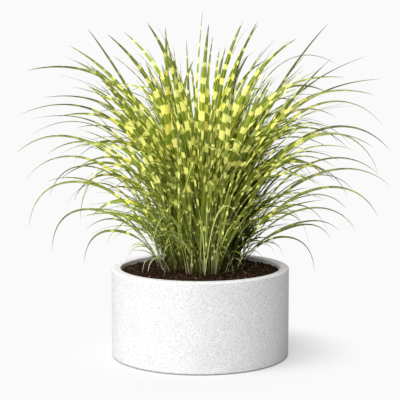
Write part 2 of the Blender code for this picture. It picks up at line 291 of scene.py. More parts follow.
def closed_turned(name, rows):
    """A mesh from turned rows that run from the axis outward over the top, then down and back.

    Its first and last row are closed by one face each. Each quad is taken the other way round, so
    that it faces outward.
    """
    count, steps = rows.shape[:2]
    first = np.arange(steps)[None]
    last = (count - 1) * steps + np.arange(steps)[None, ::-1]
    return make_mesh(name, rows.reshape(-1, 3), [grid_faces(count, steps)[:, ::-1], first, last])


# %% The pot's shell
POT_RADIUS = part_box("pot")[1].x
POT_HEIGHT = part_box("pot")[1].z
POT_WALL = 0.0214
POT_INSIDE = POT_RADIUS - POT_WALL
POT_FLOOR = 0.024
RIM_ROUND = 0.0035
FOOT_ROUND = 0.0025
HOLLOW_ROUND = 0.010
# A profile ends this far from the axis, where one small face closes the surface.
AXIS_GAP = 0.002
# Points round the axis, and along each stretch of the profile.
POT_STEPS = 256
HOLLOW_STEPS = 6
INNER_ROWS = 12
RIM_STEPS = 7
TOP_ROWS = 4
OUTER_ROWS = 36
FOOT_STEPS = 5

hollow = POT_FLOOR + HOLLOW_ROUND
rim = POT_HEIGHT - RIM_ROUND
rim_inside = POT_INSIDE + RIM_ROUND
rim_outside = POT_RADIUS - RIM_ROUND
pot_profile = np.concatenate(
    (
        [(AXIS_GAP, POT_FLOOR)],
        arc((POT_INSIDE - HOLLOW_ROUND, hollow), HOLLOW_ROUND, -90, 0, HOLLOW_STEPS),
        straight((POT_INSIDE, hollow), (POT_INSIDE, rim), INNER_ROWS),
        arc((rim_inside, rim), RIM_ROUND, 180, 90, RIM_STEPS),
        straight((rim_inside, POT_HEIGHT), (rim_outside, POT_HEIGHT), TOP_ROWS),
        arc((rim_outside, rim), RIM_ROUND, 90, 0, RIM_STEPS),
        straight((POT_RADIUS, rim), (POT_RADIUS, FOOT_ROUND), OUTER_ROWS),
        arc((POT_RADIUS - FOOT_ROUND, FOOT_ROUND), FOOT_ROUND, 0, -90, FOOT_STEPS),
        [(AXIS_GAP, 0.0)],
    )
)
pot = closed_turned("pot_shell", turned(pot_profile, POT_STEPS))
print("pot:", len(pot.data.vertices), "points")

# %% [markdown]
# ## The pot's finish
# Close up the stone is nearly white, with a fine grain, a faint cloudiness, and chips a millimetre
# or less across in grey, tan and pale rose. Noise gives the clouds and the grain. Voronoi cells
# give the chips: each cell has a random value, and only some cells are let through, so the chips
# lie apart. The bump is tiny, because the face is ground. The lowest few millimetres are darker:
# this is painted shade where the foot meets the ground.

# %% Cast stone
STONE_WHITE = (0.670, 0.663, 0.668)
STONE_CLOUD = (0.624, 0.617, 0.622)
CLOUDS_PER_METRE = 16.0
CLOUD_RANGE = (0.40, 0.72)
STONE_GRAIN = (0.500, 0.490, 0.496)
GRAINS_PER_METRE = 370.0
GRAIN_RANGE = (0.36, 0.64)
GRAIN_SHARE = 0.8
# Chips: colour, how many Voronoi cells to a metre, and the share of them that hold a chip.
CHIP_COLOURS = (
    ((0.20, 0.19, 0.19), 520.0, 0.12),
    ((0.34, 0.28, 0.25), 400.0, 0.07),
    ((0.46, 0.42, 0.41), 330.0, 0.06),
    ((0.72, 0.72, 0.72), 300.0, 0.06),
)
CHIP_EDGE = (0.30, 0.48)
CHIP_STRENGTH = 0.7
# Painted shade along the pot's foot: its colour, the heights over which it fades, and its strength.
STONE_FOOT_SHADE = (0.16, 0.15, 0.14)
FOOT_SHADE_HEIGHTS = (0.0012, 0.0050)
MOST_FOOT_SHADE = 0.85
POLISH_PER_METRE = 90.0
STONE_ROUGHNESS = (0.62, 0.78)
PITS_PER_METRE = 700.0
PIT_DEPTH = 0.0003


def chips(tree, where, size, share):
    """Specks: 1 in the middle of the few Voronoi cells whose random value is under the share."""
    cell = tree.nodes.new("ShaderNodeTexVoronoi")
    tree.links.new(where, cell.inputs["Vector"])
    cell.inputs["Scale"].default_value = size
    apart = tree.nodes.new("ShaderNodeSeparateColor")
    tree.links.new(cell.outputs["Color"], apart.inputs[0])
    chosen = maths(tree, "LESS_THAN", apart.outputs[0], share)
    return times(tree, chosen, spread(tree, cell.outputs["Distance"], *CHIP_EDGE, 1.0, 0.0))


stone, tree, shader = new_finish("pale_cast_stone")
where = placed(tree)
clouds = spread(tree, noise(tree, where, CLOUDS_PER_METRE, 5.0, 0.6), *CLOUD_RANGE)
colour = blend(tree, clouds, STONE_WHITE, STONE_CLOUD)
grain = noise(tree, where, GRAINS_PER_METRE, 1.0)
grain = spread(tree, grain, *GRAIN_RANGE, GRAIN_SHARE, 0.0)
colour = blend(tree, grain, colour, STONE_GRAIN)
for chip_colour, size, share in CHIP_COLOURS:
    chip = times(tree, chips(tree, where, size, share), CHIP_STRENGTH)
    colour = blend(tree, chip, colour, chip_colour)
# Painted shade: the lowest few millimetres darken where the foot meets the ground.
foot_shade = spread(tree, far(tree, (0, 0, 1)), *FOOT_SHADE_HEIGHTS, MOST_FOOT_SHADE, 0.0)
put(tree, shader.inputs["Base Color"], blend(tree, foot_shade, colour, STONE_FOOT_SHADE))
roughness = noise(tree, where, POLISH_PER_METRE, 3.0)
roughness = spread(tree, roughness, *MOST_NOISE, *STONE_ROUGHNESS)
put(tree, shader.inputs["Roughness"], roughness)
bump(tree, shader, noise(tree, where, PITS_PER_METRE, 4.0, 0.6), PIT_DEPTH, 0.6)
finished(pot, stone, "pot_stone", "pot")
print("stone finish:", len(tree.nodes), "nodes")

# %% [markdown]
# ## The soil
# Potting mix is a rough crust of dark crumbs with chips of bark. A crust of noise alone looks like
# mud, so thousands of separate crumbs lie on it: each is a small lump with a few dozen faces, and
# all of them are one mesh. The crust follows the solid's surface and closes at its sides and floor.

# %% The soil's crust
SOIL_GAP = 0.0003
SOIL_RADIUS = POT_INSIDE - SOIL_GAP
SOIL_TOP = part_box("soil")[1].z
SOIL_AT_WALL = 0.191
CROWN_RADIUS = 0.112
SHOULDER_RADIUS = 0.150
SHOULDER_HEIGHT = (SOIL_TOP + 2 * SOIL_AT_WALL) / 3
CRUST_ROWS = 84
CRUST_STEPS = 300
CRUST_DEPTH = 0.0034
# The crust's noise: the share of each size, its cell in metres, and its seed.
CRUST_NOISE = ((0.60, 0.018, 1), (0.50, 0.007, 2), (0.35, 0.003, 3))
CRUST_MIDDLE = 0.3
# The side of the soil: a hair inside the solid's, down to near the pot's floor.
SIDE_GAP = 0.0005
SIDE_TOP = 0.150
SIDE_FOOT = POT_FLOOR + 0.012
SOIL_FLOOR = POT_FLOOR + 0.001


def soil_height(radius):
    """The solid soil's height at a radius: level over the crown, then down to the wall."""
    radii = (0, CROWN_RADIUS, SHOULDER_RADIUS, POT_INSIDE)
    return np.interp(radius, radii, (SOIL_TOP, SOIL_TOP, SHOULDER_HEIGHT, SOIL_AT_WALL))


def crust_height(places):
    """The crust: the solid's height plus noise in three sizes, from hollows down to grains."""
    radius = np.linalg.norm(places[..., :2], axis=-1)
    rough = sum(share * soft_noise(places, cell, seed) for share, cell, seed in CRUST_NOISE)
    return soil_height(radius) + CRUST_DEPTH * (rough - CRUST_MIDDLE)


edge = SOIL_RADIUS - SIDE_GAP
crust_radii = np.linspace(AXIS_GAP, edge, CRUST_ROWS)
crust_rows = turned(np.stack((crust_radii, np.zeros(CRUST_ROWS)), axis=1), CRUST_STEPS)
crust_rows[..., 2] = crust_height(crust_rows)
side_profile = np.array([(edge, SIDE_TOP), (edge, SIDE_FOOT), (AXIS_GAP, SOIL_FLOOR)])
soil_rows = np.concatenate((crust_rows, turned(side_profile, CRUST_STEPS)))
soil = closed_turned("soil_crust", soil_rows)
print("soil crust:", len(soil.data.polygons), "faces")

# %% One lump, and random turns for many
def lump_shape():
    """A unit lump: a cube's points pushed on to a sphere, one cut to an edge, 24 quads."""
    work = bpy.data.meshes.new("lump")
    cube = bmesh.new()
    bmesh.ops.create_cube(cube, size=1.0)
    bmesh.ops.subdivide_edges(cube, edges=cube.edges, cuts=1, use_grid_fill=True)
    cube.to_mesh(work)
    cube.free()
    points = np.empty(len(work.vertices) * 3)
    work.vertices.foreach_get("co", points)
    points = points.reshape(-1, 3)
    faces = np.empty(len(work.polygons) * 4, int)
    work.polygons.foreach_get("vertices", faces)
    bpy.data.meshes.remove(work)
    return points / np.linalg.norm(points, axis=1, keepdims=True), faces.reshape(-1, 4)


def turns(count, draw):
    """Random turns as matrices (count, 3, 3), from random unit quaternions."""
    q = draw.normal(size=(count, 4))
    w, x, y, z = (q / np.linalg.norm(q, axis=1, keepdims=True)).T
    rows = (
        (1 - 2 * (y * y + z * z), 2 * (x * y - z * w), 2 * (x * z + y * w)),
        (2 * (x * y + z * w), 1 - 2 * (x * x + z * z), 2 * (y * z - x * w)),
        (2 * (x * z - y * w), 2 * (y * z + x * w), 1 - 2 * (x * x + y * y)),
    )
    return np.moveaxis(np.array(rows), -1, 0)


print("a lump has", len(lump_shape()[1]), "faces")

# %% Crumbs and bark chips
CRUMBS = 3600
CRUMB_SIZES = (0.0012, 0.0062)
CRUMB_SHAPE = (1.0, 0.85, 0.8)
CRUMB_SEED = 21
BARK_CHIPS = 460
BARK_SIZES = (0.0030, 0.0095)
BARK_SHAPE = (1.0, 0.36, 0.16)
BARK_SEED = 22
# Over 1, there are more small lumps than large ones.
MOSTLY_SMALL = 2.2
LUMP_ROUGHNESS = (0.72, 1.18)
# Shares of a lump's size: its room at the wall, and how far its middle stands over the crust.
WALL_ROOM = 0.6
LUMP_LIFT = 0.25


def scattered(name, count, sizes, shape, seed):
    """Lumps on the crust: the unit lump made rough, scaled, turned and set half into the soil."""
    draw = np.random.default_rng(seed)
    points, faces = lump_shape()
    radius = (SOIL_RADIUS - sizes[1] * WALL_ROOM) * np.sqrt(draw.uniform(0.0, 1, count))
    angle = draw.uniform(0, math.tau, count)
    centre = np.stack((radius * np.cos(angle), radius * np.sin(angle), np.zeros(count)), axis=1)
    size = sizes[0] + (sizes[1] - sizes[0]) * draw.uniform(0, 1, count) ** MOSTLY_SMALL
    centre[:, 2] = crust_height(centre) + size * shape[2] * LUMP_LIFT
    rough = draw.uniform(*LUMP_ROUGHNESS, (count, len(points), 1))
    lumps = points[None] * rough * (np.array(shape) / 2)[None, None] * size[:, None, None]
    lumps = np.einsum("nij,npj->npi", turns(count, draw), lumps) + centre[:, None]
    lump_faces = repeat_faces(faces, count, len(points))
    piece = make_mesh(name, lumps.reshape(-1, 3), [lump_faces], smooth=False)
    give_values(piece, "tone", np.repeat(draw.uniform(0, 1, count), len(points)))
    return piece


crumbs = scattered("soil_crumbs", CRUMBS, CRUMB_SIZES, CRUMB_SHAPE, CRUMB_SEED)
bark = scattered("bark_chips", BARK_CHIPS, BARK_SIZES, BARK_SHAPE, BARK_SEED)
print("crumbs:", len(crumbs.data.polygons), "faces; bark:", len(bark.data.polygons), "faces")

# %% Dark potting mix and bark
SOIL_DARK = (0.002, 0.0012, 0.0002)
SOIL_BROWN = (0.080, 0.040, 0.020)
BARK_DARK = (0.050, 0.026, 0.016)
BARK_TAN = (0.46, 0.33, 0.22)
EARTH_GRAINS_PER_METRE = 420.0
EARTH_GRAIN_RANGE = (0.42, 0.75)
EARTH_ROUGHNESS = 0.9
EARTH_GLOSS = 0.06
EARTH_BUMPS_PER_METRE = 900.0
EARTH_BUMP = 0.0012
# Of the lumps' colour, how much comes from the grain and how much from each lump's own tone.
GRAIN_PART = 0.5
OWN_PART = 0.8
# Over 1, fewer lumps are light.
MOSTLY_DARK = 2.5


def earth_finish(name, dark, light, by_tone):
    """Matt earth: a dark and a lighter colour mixed by fine noise, and by each lump's own tone."""
    finish, tree, shader = new_finish(name)
    where = placed(tree)
    share = noise(tree, where, EARTH_GRAINS_PER_METRE, 5.0, 0.65)
    share = spread(tree, share, *EARTH_GRAIN_RANGE)
    if by_tone:
        own = maths(tree, "POWER", attribute(tree, "tone"), MOSTLY_DARK)
        parts = (times(tree, share, GRAIN_PART), times(tree, own, OWN_PART))
        share = maths(tree, "ADD", *parts, clamp=True)
    put(tree, shader.inputs["Base Color"], blend(tree, share, dark, light))
    shader.inputs["Roughness"].default_value = EARTH_ROUGHNESS
    shader.inputs["Specular IOR Level"].default_value = EARTH_GLOSS
    bump(tree, shader, noise(tree, where, EARTH_BUMPS_PER_METRE, 5.0, 0.7), EARTH_BUMP)
    return finish


potting_mix = earth_finish("dark_potting_mix", SOIL_DARK, SOIL_BROWN, False)
crumb_finish = earth_finish("soil_crumb", SOIL_DARK, SOIL_BROWN, True)
bark_finish = earth_finish("bark_chip", BARK_DARK, BARK_TAN, True)
finished(soil, potting_mix, "soil", "soil")
finished(crumbs, crumb_finish, "soil")
finished(bark, bark_finish, "soil")
print("soil finished")

# %% [markdown]
# ## Where the shoots stand
# The clump's outline is a list of blades: where each one bends and where its tip is,
# seen from the front, in centimetres. The same list made the solids, so the finished blades lie
# where the solids are. The other shoots face the front and the back and repeat the same blades.

# %% The outline's shoots, from the rim up
CM = 0.01
MM = 0.001
# Each shoot: root (x, y), turn out of the outline's plane in degrees, and its blades as
# bend x, bend z, tip x, tip z in centimetres and width in millimetres.
LEFT_SHOOTS = (
    ((-9.0, -3.4), -38, ((-18.7, 28.1, -26.3, 20.8, 10), (-20.0, 30.8, -25.8, 28.2, 9))),
    ((-9.6, 1.0), 16, ((-23.0, 32.8, -33.5, 23.5, 11), (-21.0, 32.9, -24.7, 33.1, 9))),
    (
        (-8.2, -5.6),
        -18,
        (
            (-28.1, 39.2, -38.6, 28.9, 12),
            (-26.1, 38.2, -29.9, 34.2, 8),
            (-22.3, 41.4, -27.0, 30.4, 9),
        ),
    ),
    ((-8.0, 4.6), 24, ((-25.4, 42.7, -33.9, 36.0, 11), (-28.1, 40.1, -34.4, 39.2, 9))),
    ((-7.6, -1.2), -5, ((-29.0, 44.9, -39.0, 39.8, 13), (-28.1, 48.1, -34.1, 45.5, 11))),
    ((-6.9, 2.2), 9, ((-31.2, 49.5, -41.3, 45.5, 13), (-26.8, 52.6, -37.3, 49.9, 12))),
    ((-6.2, -5.8), -24, ((-29.0, 53.9, -37.5, 53.2, 12), (-26.0, 58.0, -34.8, 58.0, 12))),
    ((-5.7, -2.8), -11, ((-28.0, 56.3, -40.0, 54.3, 13), (-23.0, 59.0, -28.5, 60.4, 12))),
    ((-5.2, 0.4), 4, ((-28.2, 64.6, -38.4, 64.0, 14), (-24.5, 61.0, -31.2, 63.0, 13))),
    ((-5.4, 5.8), 30, ((-20.9, 63.7, -29.2, 69.6, 15), (-24.5, 64.3, -28.5, 66.5, 10))),
    ((-1.8, -4.4), -44, ((-18.6, 63.9, -25.0, 73.3, 17), (-14.8, 66.4, -20.5, 72.0, 16))),
    ((-0.9, 3.4), 48, ((-9.0, 64.2, -17.0, 72.5, 16), (-8.9, 62.4, -13.9, 67.9, 13))),
    ((-0.4, -2.6), -62, ((-7.0, 67.0, -12.0, 74.7, 17), (-5.3, 67.2, -9.8, 73.9, 12))),
)
RIGHT_SHOOTS = (
    ((9.6, -0.4), -22, ((17.6, 26.6, 25.8, 18.8, 11), (14.9, 25.5, 18.7, 22.2, 7))),
    ((8.2, -6.0), -42, ((21.3, 34.0, 28.7, 28.2, 12), (19.6, 32.0, 24.5, 24.6, 10))),
    ((8.9, 3.6), 28, ((23.6, 30.2, 31.4, 28.0, 9), (21.6, 29.3, 29.4, 26.2, 9))),
    ((8.5, -3.0), -14, ((28.9, 38.0, 39.9, 31.5, 12), (25.6, 33.3, 35.0, 28.2, 10))),
    ((7.5, 5.6), 27, ((27.6, 40.7, 34.3, 37.3, 11), (28.5, 36.0, 32.8, 32.9, 8))),
    ((7.8, 1.4), 5, ((32.3, 42.1, 42.6, 38.2, 13), (30.3, 44.6, 39.7, 41.1, 11))),
    (
        (6.6, -5.6),
        -22,
        ((31.4, 49.8, 39.9, 41.0, 10), (29.8, 47.3, 34.1, 46.4, 11), (24.9, 44.8, 30.3, 42.4, 9)),
    ),
    ((6.6, -1.4), -6, ((33.4, 51.5, 42.4, 46.2, 13), (31.6, 49.8, 38.8, 46.8, 11))),
    ((6.0, 3.8), 17, ((32.5, 57.0, 40.8, 51.7, 13), (26.6, 55.2, 30.3, 53.5, 9))),
    ((4.8, -4.6), -27, ((23.2, 61.9, 32.1, 62.5, 12), (33.0, 59.6, 38.6, 58.6, 12))),
    ((5.0, 0.8), 8, ((26.2, 62.1, 37.0, 67.2, 15), (28.4, 59.7, 39.7, 62.1, 12))),
    ((3.8, 4.6), 38, ((21.5, 65.9, 28.2, 74.3, 17), (23.8, 67.4, 29.6, 65.6, 12))),
    ((3.4, -2.2), -46, ((13.0, 65.0, 21.3, 71.0, 15), (14.2, 65.2, 19.7, 70.6, 14))),
    ((1.0, 2.0), 58, ((8.8, 66.9, 12.6, 74.8, 17), (9.0, 66.1, 11.7, 68.0, 9))),
    ((1.0, -5.0), -66, ((5.5, 67.4, 9.4, 74.7, 17), (3.4, 64.0, 5.6, 69.2, 14))),
    ((-1.6, 0.2), 80, ((-1.4, 66.5, 0.6, 77.7, 17), (0.4, 61.0, 1.4, 66.5, 13))),
)
BLADE_FAN = 7
ROOT_HEIGHT = SOIL_TOP + SOIL_GAP


def seen_from_front(root, heading, x, z):
    """The reach and height, on an upright plane through the root, that look to be at (x, z)."""
    scale = x / VIEW_DISTANCE
    reach = (x + scale * root.y - root.x) / (math.cos(heading) - scale * math.sin(heading))
    depth = root.y + reach * math.sin(heading)
    return reach, VIEW_HEIGHT + (z - VIEW_HEIGHT) * (1 + depth / VIEW_DISTANCE)


def blade_form(root, heading, bend, tip, as_seen):
    """The bend and the tip as (reach, height), worked out for this heading if given as seen."""
    if as_seen:
        return seen_from_front(root, heading, *bend), seen_from_front(root, heading, *tip)
    return bend, tip


def side_heading(outward, turn):
    """The heading of a blade at the left or right, turned by degrees towards the back."""
    aside = math.radians(turn)
    return outward + (aside if outward == 0.0 else -aside)


def listed_ends(bend_x, bend_z, tip_x, tip_z):
    """A listed blade's bend and tip in metres."""
    return (bend_x * CM, bend_z * CM), (tip_x * CM, tip_z * CM)


def outline_shoots():
    """The outline's shoots: the root, and each blade's heading, bend, tip and width, as seen."""
    shoots = []
    for rows, outward in ((LEFT_SHOOTS, math.pi), (RIGHT_SHOOTS, 0.0)):
        for (x, y), turn, blades in rows:
            grown = []
            for number, (*ends, width) in enumerate(blades):
                fanned = turn + (number - 0.5) * math.copysign(BLADE_FAN, turn)
                heading = side_heading(outward, fanned)
                grown.append((heading, *listed_ends(*ends), width * MM))
            shoots.append((Vector((x * CM, y * CM, ROOT_HEIGHT)), grown))
    return shoots


outline = outline_shoots()
print("outline:", len(outline), "shoots,", sum(len(blades) for _, blades in outline), "blades")

# %% Roots over the crown, and the outline's forms
ROOT_SPACING = 0.0150
ROOT_RADIUS = 0.101
ROOT_CANDIDATES = 160
GOLDEN_ANGLE = math.radians(137.508)


def ring_root(radius, angle):
    """A root on the soil, at a radius and an angle from the axis."""
    return Vector((radius * math.cos(angle), radius * math.sin(angle), ROOT_HEIGHT))


def free_roots(taken, count):
    """Roots on a sunflower spiral over the crown, each clear of the ones already there."""
    roots = []
    for number in range(ROOT_CANDIDATES):
        radius = ROOT_RADIUS * math.sqrt((number + 0.5) / ROOT_CANDIDATES)
        root = ring_root(radius, number * GOLDEN_ANGLE)
        if all((root - other).length > ROOT_SPACING for other in taken + roots):
            roots.append(root)
    step = len(roots) / count
    return [roots[int(number * step)] for number in range(count)]


def outline_forms():
    """The outline's blades as (bend, tip, width), low ones first; the ends are (reach, height)."""
    forms = []
    for root, blades in outline:
        for heading, bend, tip, width in blades:
            forms.append((*blade_form(root, heading, bend, tip, True), width))
    return sorted(forms, key=lambda form: form[0][1])


forms = outline_forms()
print("lowest bend:", round(forms[0][0][1], 3), "highest bend:", round(forms[-1][0][1], 3))

# %% The shoots that face the front and the back
FACING_SHOOTS = 25
FACING_SEED = 11
FACING_HALF_ANGLE = 58
FACING_FAN = 12
FACING_BLADES = 2
FRONT_LOWEST_BEND = 0.47
BACK_LOWEST_BEND = 0.36
UPRIGHT_HEIGHT = 0.66
UPRIGHT_REACH = 0.24
REACH_SPREAD = (0.93, 1.03)
HEIGHT_SPREAD = (0.97, 1.01)


def facing_shoots():
    """Shoots that face the front and the back, with the outline's blades turned to them."""
    draw = random.Random(FACING_SEED)
    upright = [form for form in forms if form[1][1] > UPRIGHT_HEIGHT and form[1][0] < UPRIGHT_REACH]
    shoots = []
    for root in free_roots([root for root, _ in outline], FACING_SHOOTS):
        outness = root.xy.length / ROOT_RADIUS
        facing = math.copysign(math.pi / 2, root.y)
        lowest = FRONT_LOWEST_BEND if root.y < 0 else BACK_LOWEST_BEND
        arching = [form for form in forms if form[0][1] > lowest and form not in upright]
        arching = arching[int(len(arching) * (1 - outness) / 2) :]
        turn = math.radians(FACING_HALF_ANGLE) * draw.uniform(-1, 1)
        blades = []
        for _ in range(FACING_BLADES):
            bend, tip, width = draw.choice(arching if draw.random() < outness else upright)
            heading = facing + turn + math.radians(draw.uniform(-FACING_FAN, FACING_FAN))
            grow = draw.uniform(*REACH_SPREAD)
            rise = draw.uniform(*HEIGHT_SPREAD)
            bend = (bend[0] * grow, bend[1] * rise)
            tip = (tip[0] * grow, tip[1] * rise)
            blades.append((heading, bend, tip, width))
        shoots.append((root, blades))
    return shoots


planned = [(root, blades, True) for root, blades in outline]
planned += [(root, blades, False) for root, blades in facing_shoots()]
print("planned:", len(planned), "shoots")

# %% [markdown]
# ## The line of a blade
# A grass blade rises nearly straight, then its own weight bends it over. A parabola through its
# foot, its bend and its tip has just that form. In numpy the parabolas of all blades are one array:
# the first axis counts the blades, the second the stations along each one.

# %% Parabolas for all blades at once
LEAST_LEAN = 0.03
OUTER_ARCH = 8.0
MOST_ARCH = 0.85
LEAST_DROP = 1e-6


def blade_lines(foot, gone, heading, bend, tip, stations):
    """Centre lines (blade, station, 3): the parabola foot (1-t)^2 + pull 2t(1-t) + tip t^2.

    The pull is chosen so that the line meets the bend at the share of the way that its distances
    from the foot and the tip give. Bend and tip are (reach, height), counted from the root. Where
    the tip hangs below the bend, the arch t^2 (1-t) (t-share) rounds the outer part.
    """
    start = np.stack((np.zeros(len(foot)), foot[:, 2]), axis=1)
    middle = bend - np.stack((gone, np.zeros(len(foot))), axis=1)
    end = tip - np.stack((gone, np.zeros(len(foot))), axis=1)
    before = np.linalg.norm(middle - start, axis=1)
    share = (before / (before + np.linalg.norm(end - middle, axis=1)))[:, None]
    pull = (middle - start * (1 - share) ** 2 - end * share**2) / (2 * share * (1 - share))
    pull[:, 0] = np.maximum(pull[:, 0], LEAST_LEAN * (pull[:, 1] - start[:, 1]))
    end[:, 0] = np.maximum(end[:, 0], pull[:, 0] + LEAST_LEAN * (end[:, 1] - pull[:, 1]))
    outer = end - middle
    drop = np.maximum(-outer[:, 1], 0)
    arch = OUTER_ARCH * drop / np.linalg.norm(outer, axis=1)
    past_pull = np.maximum(end[:, 0] - pull[:, 0], 0)
    most = MOST_ARCH * 2 * past_pull / ((1 - share[:, 0]) * np.maximum(drop, LEAST_DROP))
    beyond = np.stack((-outer[:, 1], outer[:, 0]), axis=1) * np.minimum(arch, most)[:, None]
    t = np.asarray(stations)[None, :, None]
    spot = start[:, None] * (1 - t) ** 2 + pull[:, None] * (2 * t * (1 - t)) + end[:, None] * t**2
    spot = spot + beyond[:, None] * (t**2 * (1 - t) * (t - share[:, None]))
    ahead = np.stack((np.cos(heading), np.sin(heading)), axis=1)[:, None]
    return np.concatenate((foot[:, None, :2] + spot[..., :1] * ahead, spot[..., 1:]), axis=2)


def one_line(root, foot, heading, bend, tip, stations):
    """The centre line of a single blade."""
    gone = (foot[0] - root[0]) * math.cos(heading) + (foot[1] - root[1]) * math.sin(heading)
    arrays = [np.array([value]) for value in (foot, gone, heading, bend, tip)]
    return blade_lines(*arrays, stations)[0]


sample = one_line((0, 0, 0), (0, 0, 0), 0.0, (0.2, 0.5), (0.4, 0.4), np.linspace(0, 1, 3))
print("a sample blade's foot, middle and tip:", np.round(sample, 3).tolist())

# %% [markdown]
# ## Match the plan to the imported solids
# Where two solid blades would have touched, the part turned one a few degrees aside, or left it
# out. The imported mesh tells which: a blade was turned by the angle whose tip is found in its node.

# %% Where a shoot's stem stands, and where its blades leave it
STEM_FOOT = 0.004
STEM_SHARE = 0.24
OFF_AXIS = np.array((0.0005, -0.0004, 0.0))
TOP_BLADE_UP = 0.94
BLADE_SPACING = 0.28
SOLID_STATIONS = np.linspace(0, 1, 8)


def stem_line(root, blades, as_seen):
    """The stem: up out of the soil, then straight the way that its blades first go."""
    way = np.zeros(3)
    rise = 0.0
    for heading, bend, tip, _ in blades:
        bend, tip = blade_form(root, heading, bend, tip, as_seen)
        line = one_line(root, root, heading, bend, tip, SOLID_STATIONS)
        way += (line[1] - line[0]) / np.linalg.norm(line[1] - line[0])
        rise += bend[1] - root.z
    height = STEM_SHARE * rise / len(blades)
    foot = np.array(root) + (0, 0, STEM_FOOT)
    return foot, foot + way * (height / way[2])


def blade_foot(stem, number):
    """Where a shoot's blade leaves the stem: the first near its top, the others lower."""
    low, high = stem
    return low + (high - low) * (TOP_BLADE_UP - number * BLADE_SPACING) + OFF_AXIS


# %% Find each shoot's node and each blade's turn
TURN_ASIDE = (0, 3, -3, 6, -6, 10, -10, 14, -14, 19, -19, 25, -25)
SAME_PLACE = 0.0045
LEAF_WIDTH_SHARES = (0.66, 0.88)
UPRIGHT_FROM = (0.50, 0.68)


def node_points(name):
    """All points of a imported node."""
    mesh = nodes[name].data
    points = np.empty(len(mesh.vertices) * 3)
    mesh.vertices.foreach_get("co", points)
    return points.reshape(-1, 3)


def nearest(points, place):
    """How near the closest point is to a place."""
    return np.linalg.norm(points - place, axis=1).min()


def leaf_width(width, tip):
    """A finished leaf's width: less than the solid's if it arches, nearly all of it if upright."""
    return width * float(np.interp(tip[1], UPRIGHT_FROM, LEAF_WIDTH_SHARES))


def match_blade(points, root, foot, blade, as_seen):
    """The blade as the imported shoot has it: its turned heading, bend, tip and width, or nothing."""
    heading, bend, tip, width = blade
    tries = []
    for aside in TURN_ASIDE:
        turned_to = heading + math.radians(aside)
        form = blade_form(root, turned_to, bend, tip, as_seen)
        line = one_line(root, foot, turned_to, *form, SOLID_STATIONS)
        tries.append((nearest(points, line[-1]), turned_to, *form, width))
    best = min(tries, key=lambda found: found[0])
    return best[1:] if best[0] < SAME_PLACE else None


shoot_names = sorted(name for name in nodes if name.startswith("shoot_"))
shoots = []
for root, blades, as_seen in planned:
    if len(shoots) == len(shoot_names):
        break
    points = node_points(shoot_names[len(shoots)])
    if nearest(points, np.array(root)) > SAME_PLACE:
        print("left out:", np.round(root, 3))
        continue
    stem = stem_line(root, blades, as_seen)
    grown = []
    for number, blade in enumerate(blades):
        foot = blade_foot(stem, number)
        found = match_blade(points, root, foot, blade, as_seen)
        if found:
            grown.append((root, foot, *found[:-1], leaf_width(found[-1], found[-2])))
    shoots.append((shoot_names[len(shoots)], root, grown))
blades_found = sum(len(grown) for _, _, grown in shoots)
print("matched:", len(shoots), "of", len(shoot_names), "nodes,", blades_found, "blades")

# %% [markdown]
# ## More blades between them
# The real clump has hundreds of blades, too many for solids. Finer ones fill the space between the
# solid ones. Each takes a root in the crown and repeats one of the outline's forms, a little
# smaller, so that none reaches past the solids. Outer roots at the sides carry the low arching
# forms; inner roots, and those that face the front or the back, carry the upright ones. The clump
# is densest and darkest at its right, so a last group of thin blades stands there, in deep green
# tones that are partly painted shade.

# %% Helpers that plan a blade
def shrunk(form, size, reach):
    """A form's ends made smaller: the heights over the soil by size, the reaches by reach."""
    ends = form[:2]
    return tuple((end * reach, ROOT_HEIGHT + (height - ROOT_HEIGHT) * size) for end, height in ends)


def pick(choices, place):
    """The form at a share of the way through a list, from 0 up to just under 1."""
    return choices[int(place * len(choices))]


def from_soil(root, heading, ends, width):
    """A blade that starts at its root: root, foot, heading, bend, tip and width."""
    return root, np.array(root), heading, *ends, width


def planted(count, seed, blade):
    """Blades that a function grows one after another, from their number and a random source."""
    draw = np.random.default_rng(seed)
    return [blade(number, draw) for number in range(count)]


# %% Blades over the whole crown
# Each group: how many, seed, radius, packing, depth lean, widths, sizes, and turns in radians.
INNER_GROUP = (250, 21, 0.088, 0.65, 0.65, (0.0085, 0.0150), (0.62, 0.90), 0.35)
FINE_GROUP = (120, 4, 0.094, 0.5, 0.5, (0.0028, 0.0060), (0.42, 0.75), 0.5)
FIRST_ANGLE = 1.0
ROOT_JITTER = 0.006
CROWN_SHIFT = 0.009
DRAWN_IN = 0.60
FRONT_SHARE = 0.30
# How far down the list of forms a blade may go: at least, more at the sides, and how sharply.
LOW_ANYWHERE = 0.12
LOW_AT_SIDES = 0.68
LOW_POWER = 1.5
PLACE_JITTER = 0.06
LAST_PLACE = 0.999
CROWN_REACHES = (0.75, 1.05)


